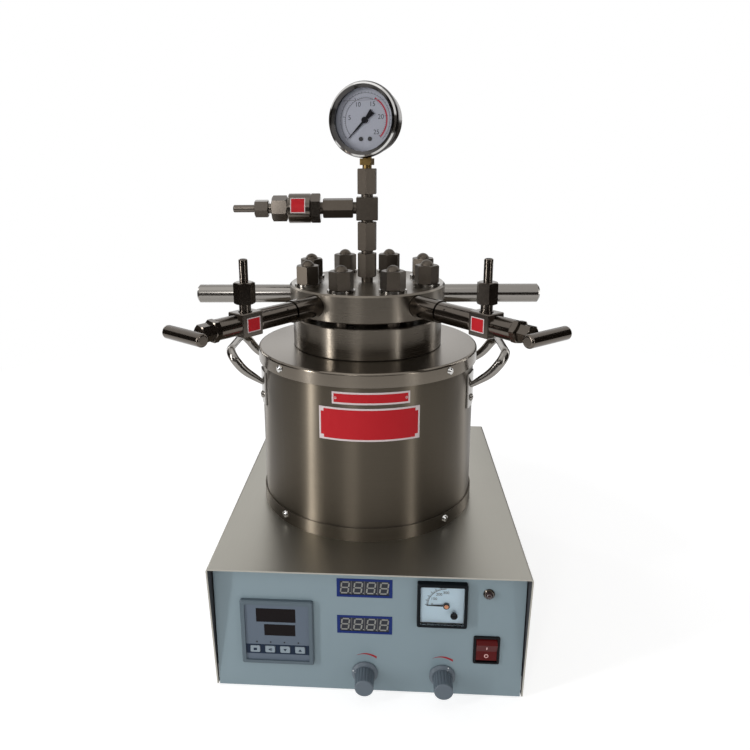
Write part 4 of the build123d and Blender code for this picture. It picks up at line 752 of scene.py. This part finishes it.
class REACTOR_OT_controller(bpy.types.Operator):
    """Finish the temperature controller, its windows, lamps and keys"""

    bl_idname = "reactor.controller"
    bl_label = "Controller"

    def execute(self, context):
        finish_nodes(moulded("controller_bezel", (0.085, 0.115, 0.138), 0.45), "controller_case")
        low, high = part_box("controller_case")
        middle, face_half, recess = (low.x + high.x) / 2, 32.5 * MM, 1.0 * MM
        finish_faces("controller_case", moulded("controller_face", (0.095, 0.122, 0.160), 0.5),
                     lambda c, n: n.y < -0.9 and c.y > low.y + recess and abs(c.x - middle) < face_half)
        finish_nodes(moulded("smoked_window", (0.007, 0.0045, 0.005), 0.15, 400.0, 0.01, shine=0.08),
                     "controller_windows")
        finish_nodes(moulded("key_cap", (0.24, 0.29, 0.33), 0.4),
                     *[f"controller_key_{k}" for k in range(1, 5)])
        cx, cz, pitch, wide, high = -89.4, 67.3, 15, 5.2, 4.0
        holes = [(cx + (k - 1.5) * pitch, cz - 19.3) for k in range(4)]
        us = sorted([-121.3, -57.8] + [x + s * wide for x, _ in holes for s in (-1, 1)])
        vs = [42.6, holes[0][1] - high, holes[0][1] + high, 53.1]
        navy = moulded("key_strip", tuple(settings("panel").navy), 0.35, shine=0.15)
        thin_sheet("controller_key_strip", us, vs, lambda u, v, w: on_panel(u, v, w + 3.0), 0.25,
                   "base", "window_plastic", (navy,), keep=lambda u, v: not any(
                       abs(u - x) < wide and abs(v - z) < high for x, z in holes))
        dots = [disc((cx + x, 56.0), 0.8, 12) for x in (-20.7, -6.9, 6.9, 20.8)]
        flat_marks("controller_lamps", dots, on_panel, 3.0, 0.3, "base", "window_plastic", ink())
        shapes = (
            [[(-1.7, -1.4), (1.7, -1.4), (1.7, 1.4), (-1.7, 1.4)]],
            [[(-1.9, 0), (0.6, 1.5), (0.6, -1.5)], [(1.1, -1.5), (1.8, -1.5), (1.8, 1.5), (1.1, 1.5)]],
            [[(-1.8, 1.2), (0, -1.6), (1.8, 1.2)]],
            [[(-1.8, -1.2), (1.8, -1.2), (0, 1.6)]],
        )
        for k, shape in enumerate(shapes):
            x, z = holes[k]
            outlines = [[(x + u, z + v) for u, v in part] for part in shape]
            flat_marks(f"key_mark_{k + 1}", outlines, on_panel, 3.9, 0.06,
                       f"controller_key_{k + 1}_body", "key_plastic", navy)
        return {"FINISHED"}


class REACTOR_OT_displays(bpy.types.Operator):
    """Print the blue frames and lay the unlit digits in the two displays"""

    bl_idname = "reactor.displays"
    bl_label = "Displays"

    def execute(self, context):
        panel = settings("panel")
        finish_nodes(moulded("display_filter", (0.032, 0.034, 0.042), 0.18, 400.0, 0.01, shine=0.12),
                     "displays")
        blue = moulded("frame_blue", tuple(panel.frame_blue), 0.3, shine=0.15)
        unlit = moulded("unlit_segment", (0.25, 0.25, 0.235), 0.5)
        divider = moulded("digit_gap", (0.075, 0.072, 0.075), 0.4)
        high, wide, bar, lean = panel.digit_height, 7.4, 1.35, 0.13
        x, open_x, open_z, frame_x, frame_z, gap = -3.0, 24.0, 7.7, 27.0, 10.1, 7.6
        for name, z in (("upper", 118.8), ("lower", 77.8)):
            thin_sheet(f"{name}_display_frame", [x - frame_x, x - open_x, x + open_x, x + frame_x],
                       [z - frame_z, z - open_z, z + open_z, z + frame_z], on_panel, 0.3, "base",
                       "display_plastic", (blue,),
                       keep=lambda u, v, z=z: not (abs(u - x) < open_x and abs(v - z) < open_z))
            bars, gaps = [], []
            for k in range(4):
                middle = x + (k - 1.5) * panel.digit_pitch
                half = high / 2
                lines = [((-wide / 2, y), (wide / 2, y)) for y in (-half, 0, half)]
                lines += [((s, y), (s, y + half)) for s in (-wide / 2, wide / 2) for y in (-half, 0)]
                for (x0, y0), (x1, y1) in lines:
                    if y0 == y1:
                        box = [(x0 + bar / 2, y0 - bar / 2), (x1 - bar / 2, y0 - bar / 2),
                               (x1 - bar / 2, y0 + bar / 2), (x0 + bar / 2, y0 + bar / 2)]
                    else:
                        box = [(x0 - bar / 2, y0 + bar / 2), (x0 + bar / 2, y0 + bar / 2),
                               (x0 + bar / 2, y1 - bar / 2), (x0 - bar / 2, y1 - bar / 2)]
                    bars.append([(middle + u + lean * v, z + v) for u, v in box])
                bars.append(disc((middle + wide / 2 + 1.6, z - half), 0.6, 10))
                if k < 3:
                    edge = middle + panel.digit_pitch / 2
                    gaps.append([(edge - 0.5, z - gap), (edge + 0.5, z - gap), (edge + 0.5, z + gap),
                                 (edge - 0.5, z + gap)])
            flat_marks(f"{name}_display_digits", bars, on_panel, -0.28, 0.06, "base",
                       "display_plastic", unlit)
            flat_marks(f"{name}_display_gaps", gaps, on_panel, -0.28, 0.04, "base",
                       "display_plastic", divider)
        return {"FINISHED"}


class REACTOR_OT_voltmeter(bpy.types.Operator):
    """Finish the voltmeter and print its card"""

    bl_idname = "reactor.voltmeter"
    bl_label = "Voltmeter"

    def execute(self, context):
        dials = settings("dials")
        finish_nodes(moulded("meter_bezel", (0.004, 0.006, 0.008), 0.3, shine=0.08), "voltmeter_case")
        rim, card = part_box("voltmeter_case")[0].y + 3.0 * MM, PANEL_Y - 0.5 * MM
        finish_faces("voltmeter_case", moulded("meter_card", tuple(dials.meter_plate), 0.5),
                     lambda c, n: n.y < -0.9 and rim < c.y < card)
        finish_nodes(window_glass("meter_window"), "voltmeter_glass")
        finish_nodes(pointer_lacquer(), "voltmeter_pointer")
        finish_nodes(moulded("adjuster_black", (0.006, 0.006, 0.007), 0.35, shine=0.15),
                     "voltmeter_adjuster")
        black = ink()
        pivot, card_out = (75.7, 104.0), 1.22
        zero, span, full, steps = 180, 88, 300, 30      # the scale's start and width in degrees
        number_radius, number_height = 13.6, 3.0
        marks = arc_band(pivot, 17.4, 17.8, zero - span, zero, 24)
        for i in range(steps + 1):
            reach, width = (20.6, 0.5) if i % 5 == 0 else (19.2, 0.3)
            marks.append(tick(pivot, zero - i * span / steps, 17.4, reach, width))
        flat_marks("meter_scale", marks, on_panel, card_out, 0.05, "base", "pointer_black", black)
        for number in range(0, full + 1, 100):
            a = math.radians(zero - number * span / full)
            numeral(f"meter_number_{number}", str(number), pivot[0] + number_radius * math.cos(a),
                    pivot[1] + number_radius * math.sin(a), number_height,
                    lambda u, v, w: on_panel(u, v, w + card_out), "base", black)
        copper = metal("copper_hub", (0.55, 0.24, 0.12), 0.3)
        flat_marks("meter_hub", [disc(pivot, 2.0)], on_panel, 3.52, 0.5, "voltmeter_pointer_body",
                   "brass", copper)
        return {"FINISHED"}


class REACTOR_OT_switch_and_lamp(bpy.types.Operator):
    """Finish the rocker switch and the pilot lamp"""

    bl_idname = "reactor.switch_and_lamp"
    bl_label = "Switch and lamp"

    def execute(self, context):
        finish_nodes(steel("turned"), "pilot_lamp_ring")
        finish_nodes(moulded("lamp_lens", (0.03, 0.012, 0.012), 0.1, coat=0.6), "pilot_lamp_lens")
        finish_nodes(moulded("switch_black", (0.006, 0.006, 0.007), 0.4, shine=0.10), "rocker_frame")
        finish_nodes(moulded("rocker_red", (0.085, 0.005, 0.005), 0.3, shine=0.12), "rocker")
        pale = moulded("rocker_mark", (0.75, 0.45, 0.42), 0.4)
        tilt, depth = math.radians(10.0), 5.0     # how the rocker stands, and its pivot's depth
        keel, crest, half_height = 1.4, 3.4, 9.9  # out of the panel at the middle and at its ends
        pivot = on_panel(116.0, 54.7, -depth)

        def on_half(sign):
            """A place on the upper (1) or lower (-1) slope: u across, v up it, w out of it."""
            slope = math.atan2(crest - keel, half_height) * sign

            def place(u, v, w=0.0):
                up = v * math.cos(slope) - w * math.sin(slope)
                out = keel + depth + v * math.sin(slope) + w * math.cos(slope)
                z = up * math.cos(tilt) - out * math.sin(tilt)
                y = up * math.sin(tilt) + out * math.cos(tilt)
                return pivot + Vector((u * MM, -y * MM, z * MM))

            return place

        bar = [[(-0.45, 3.0), (0.45, 3.0), (0.45, 7.2), (-0.45, 7.2)]]
        flat_marks("rocker_mark_on", bar, on_half(1), 0.01, 0.08, "rocker_body", "red_plastic", pale)
        ring = arc_band((0, -5.2), 1.4, 2.1, 0, 360, 24)
        flat_marks("rocker_mark_off", ring, on_half(-1), 0.01, 0.08, "rocker_body", "red_plastic", pale)
        return {"FINISHED"}


class REACTOR_OT_knobs(bpy.types.Operator):
    """Finish the two knobs, their index marks and the red crescents above them"""

    bl_idname = "reactor.knobs"
    bl_label = "Knobs"

    def execute(self, context):
        panel = settings("panel")
        finish_nodes(moulded("knob_grey", tuple(panel.grey), 0.42, 1200.0, 0.1), "speed_knob",
                     "voltage_knob")
        white = moulded("index_white", (0.8, 0.8, 0.8), 0.4)
        knob_z, skirt_out, skirt_flat, skirt_edge, fall = 22.4, 3.5, 10.4, 12.9, 2.0

        def on_skirt(x):
            """A place on a knob's skirt, flat near the barrel and falling towards its edge."""
            def place(u, v, w):
                past = max(0.0, math.hypot(u - x, v - knob_z) - skirt_flat)
                return on_panel(u, v, w + skirt_out - fall * past / (skirt_edge - skirt_flat))

            return place

        for name, x, angle in (("speed_knob", -2.8, 165.0), ("voltage_knob", 74.0, 62.0)):
            flat_marks(f"{name}_index", [tick((x, knob_z), angle, 9.9, 12.4, 1.1)], on_skirt(x), 0.02,
                       0.1, f"{name}_body", "grey_plastic", white)
        red = moulded("red_print", tuple(panel.red), 0.4)
        half, arch, drop, steps = 10.1, 4.6, 1.2, 16
        outlines = []
        for x, z in ((-1.0, 40.6), (74.1, 40.4)):
            low, high = [], []
            for t in np.linspace(0, 1, steps + 1):
                u = -half + 2 * half * t
                v = arch * math.sin(math.pi * (0.12 + 0.76 * t)) - drop * t
                low.append((x + u, z + v - 0.1 - 1.9 * t))
                high.append((x + u, z + v + 0.1 + 0.5 * t))
            outlines += [[low[k], low[k + 1], high[k + 1], high[k]] for k in range(steps)]
        flat_marks("knob_crescents", outlines, on_panel, 0.01, 0.05, "base", "red_plastic", red)
        return {"FINISHED"}


class REACTOR_OT_stage(bpy.types.Operator):
    """Lay the floor, set the soft lamps and place the camera"""

    bl_idname = "reactor.stage"
    bl_label = "Stage"

    def execute(self, context):
        stage = settings("stage")
        scene = context.scene
        self.lay_floor(scene, stage)
        self.light_world(scene)
        self.dark_cards(scene)
        self.soft_lamps(scene, stage)
        self.place_camera(scene, stage)
        scene.view_settings.view_transform = "Standard"
        return {"FINISHED"}

    def lay_floor(self, scene, stage):
        """A wide plain floor under the feet."""
        bm = bmesh.new()
        bmesh.ops.create_grid(bm, x_segments=8, y_segments=8, size=6.0)
        mesh = bpy.data.meshes.new("floor")
        bm.to_mesh(mesh)
        bm.free()
        floor = bpy.data.objects.new("floor", mesh)
        scene.collection.objects.link(floor)
        mesh.materials.append(self.floor_material(stage))

    def soft_lamps(self, scene, stage):
        """Upright soft strips round the object and one wide lamp over it."""
        for name, azimuth, distance, height, wide, tall, share in (
            ("strip_left", -55.5, 1.6, 0.62, 0.10, 1.2, 3.9),
            ("strip_middle", -14.0, 1.6, 0.62, 0.20, 1.2, 1.5),
            ("strip_right", 46.5, 1.7, 0.62, 0.05, 1.2, 0.8),
            ("strip_far_right", 120.0, 1.8, 0.70, 0.12, 1.3, 0.8),
            ("strip_far_left", -130.0, 1.8, 0.70, 0.12, 1.3, 1.0),
            ("strip_back", 186.0, 2.4, 0.90, 1.20, 1.5, 0.4),
            ("overhead", -40.0, 0.7, 2.2, 1.6, 1.4, 1.0),
        ):
            lamp = bpy.data.lights.new(name, "AREA")
            lamp.shape, lamp.size, lamp.size_y = "RECTANGLE", wide, tall
            lamp.energy = stage.lamp_power * share
            obj = bpy.data.objects.new(name, lamp)
            a = math.radians(azimuth)
            obj.location = (distance * math.sin(a), -distance * math.cos(a), height)
            aim = Vector((0, 0, 0.28)) - obj.location
            obj.rotation_euler = aim.to_track_quat("-Z", "Y").to_euler()
            scene.collection.objects.link(obj)

    def place_camera(self, scene, stage):
        """The camera, in front of the panel and above it."""
        camera = bpy.data.cameras.new("camera")
        camera.lens, camera.sensor_width = stage.lens, 36.0
        camera.shift_x, camera.shift_y = stage.shift
        obj = bpy.data.objects.new("camera", camera)
        obj.matrix_world = Matrix.LocRotScale(Vector(stage.camera_at), Euler(stage.camera_turn), None)
        scene.collection.objects.link(obj)
        scene.camera = obj

    def floor_material(self, stage):
        """Pale floor that shows white to the camera, in metal and in glass, and keeps the shadow."""
        material = bpy.data.materials.new("floor_paper")
        material.use_nodes = True
        nodes, links = material.node_tree.nodes, material.node_tree.links
        shader = nodes["Principled BSDF"]
        shader.inputs["Base Color"].default_value = (*stage.floor, 1)
        shader.inputs["Roughness"].default_value = 0.9
        place = nodes.new("ShaderNodeTexCoord")
        distance = nodes.new("ShaderNodeVectorMath")
        distance.operation = "LENGTH"
        links.new(place.outputs["Object"], distance.inputs[0])

        def by_distance(near, far):
            """A value on the near floor that changes to another on the far floor."""
            return ramp_node(nodes, links, distance.outputs["Value"], stage.floor_near, stage.floor_far,
                             near, far)

        seen = math_node(nodes, "MULTIPLY")
        links.new(self.seen_rays(nodes, links), seen.inputs[0])
        links.new(by_distance(0.40, 1.0), seen.inputs[1])
        white = nodes.new("ShaderNodeEmission")
        white.inputs["Color"].default_value = (1, 1, 1, 1)
        links.new(by_distance(1.78, 1.0), white.inputs["Strength"])
        mix = nodes.new("ShaderNodeMixShader")
        links.new(seen.outputs[0], mix.inputs[0])
        links.new(shader.outputs[0], mix.inputs[1])
        links.new(white.outputs[0], mix.inputs[2])
        links.new(mix.outputs[0], nodes["Material Output"].inputs["Surface"])
        return material

    def seen_rays(self, nodes, links):
        """1 for rays from the camera, from a mirror and through glass."""
        path = nodes.new("ShaderNodeLightPath")
        direct = math_node(nodes, "ADD")
        links.new(path.outputs["Is Camera Ray"], direct.inputs[0])
        links.new(path.outputs["Is Glossy Ray"], direct.inputs[1])
        every = math_node(nodes, "ADD", clamp=True)
        links.new(direct.outputs[0], every.inputs[0])
        links.new(path.outputs["Is Transmission Ray"], every.inputs[1])
        return every.outputs[0]

    def light_world(self, scene):
        """White where it is seen, and a plain soft grey as light."""
        world = bpy.data.worlds.new("studio")
        world.use_nodes = True
        scene.world = world
        nodes, links = world.node_tree.nodes, world.node_tree.links
        nodes.clear()
        out = nodes.new("ShaderNodeOutputWorld")
        plain = nodes.new("ShaderNodeBackground")
        plain.inputs["Color"].default_value = (0.38, 0.38, 0.38, 1)
        white = nodes.new("ShaderNodeBackground")
        white.inputs["Color"].default_value = (1, 1, 1, 1)
        mix = nodes.new("ShaderNodeMixShader")
        links.new(self.seen_rays(nodes, links), mix.inputs[0])
        links.new(plain.outputs[0], mix.inputs[1])
        links.new(white.outputs[0], mix.inputs[2])
        links.new(mix.outputs[0], out.inputs["Surface"])

    def dark_cards(self, scene):
        """Upright dark cards that only reflections see; the white backdrop shows between them."""
        card_radius, card_foot, step = 1.35, 0.02, 4
        bm = bmesh.new()
        for start, end, top in ((-120, -66, 0.95), (-47, 38, 0.80), (52, 110, 1.25), (127, 166, 0.60),
                                (194, 224, 0.55)):
            steps = (end - start) // step
            rows = []
            for k in range(steps + 1):
                a = math.radians(start + (end - start) * k / steps)
                x, y = card_radius * math.sin(a), -card_radius * math.cos(a)
                rows.append([bm.verts.new((x, y, z)) for z in (card_foot, top)])
            for left, right in zip(rows[:-1], rows[1:]):
                bm.faces.new((left[0], right[0], right[1], left[1]))
        mesh = bpy.data.meshes.new("dark_cards")
        bm.to_mesh(mesh)
        bm.free()
        cards = bpy.data.objects.new("dark_cards", mesh)
        scene.collection.objects.link(cards)
        cards.visible_camera = cards.visible_diffuse = cards.visible_shadow = False
        cards.visible_transmission = False
        cloth = bpy.data.materials.new("card_cloth")
        cloth.use_nodes = True
        shader = cloth.node_tree.nodes["Principled BSDF"]
        shader.inputs["Base Color"].default_value = (0.030, 0.022, 0.016, 1)
        shader.inputs["Roughness"].default_value = 0.9
        mesh.materials.append(cloth)


class REACTOR_PT_panel(bpy.types.Panel):
    """Sidebar list of the reactor's pieces and settings"""

    bl_idname = "REACTOR_PT_panel"
    bl_label = "Reactor"
    bl_space_type = "VIEW_3D"
    bl_region_type = "UI"
    bl_category = "Reactor"

    def draw(self, context):
        for group in SETTINGS:
            box = self.layout.box()
            data = settings(group)
            for name in data.__annotations__:
                box.prop(data, name)
        for operator in OPERATORS:
            self.layout.operator(operator.bl_idname)


SETTINGS = {
    "metals": REACTOR_PG_metals,
    "panel": REACTOR_PG_panel,
    "labels": REACTOR_PG_labels,
    "dials": REACTOR_PG_dials,
    "stage": REACTOR_PG_stage,
}

OPERATORS = (
    REACTOR_OT_cabinet,
    REACTOR_OT_inner_works,
    REACTOR_OT_jacket,
    REACTOR_OT_jacket_plates,
    REACTOR_OT_fitting_plates,
    REACTOR_OT_vessel,
    REACTOR_OT_fittings,
    REACTOR_OT_gauge,
    REACTOR_OT_controller,
    REACTOR_OT_displays,
    REACTOR_OT_voltmeter,
    REACTOR_OT_switch_and_lamp,
    REACTOR_OT_knobs,
    REACTOR_OT_stage,
)


def register():
    """Register the classes and hang the settings on the scene."""
    for cls in (*SETTINGS.values(), *OPERATORS, REACTOR_PT_panel):
        bpy.utils.register_class(cls)
    for name, cls in SETTINGS.items():
        setattr(bpy.types.Scene, "reactor_" + name, PointerProperty(type=cls))


def unregister():
    """Take the settings and the classes away again."""
    for name in SETTINGS:
        delattr(bpy.types.Scene, "reactor_" + name)
    for cls in (REACTOR_PT_panel, *reversed(OPERATORS), *reversed(list(SETTINGS.values()))):
        bpy.utils.unregister_class(cls)


def main():
    """Finish every piece in order."""
    register()
    for operator in OPERATORS:
        group, name = operator.bl_idname.split(".")
        getattr(getattr(bpy.ops, group), name)()


if __name__ == "__main__":
    main()
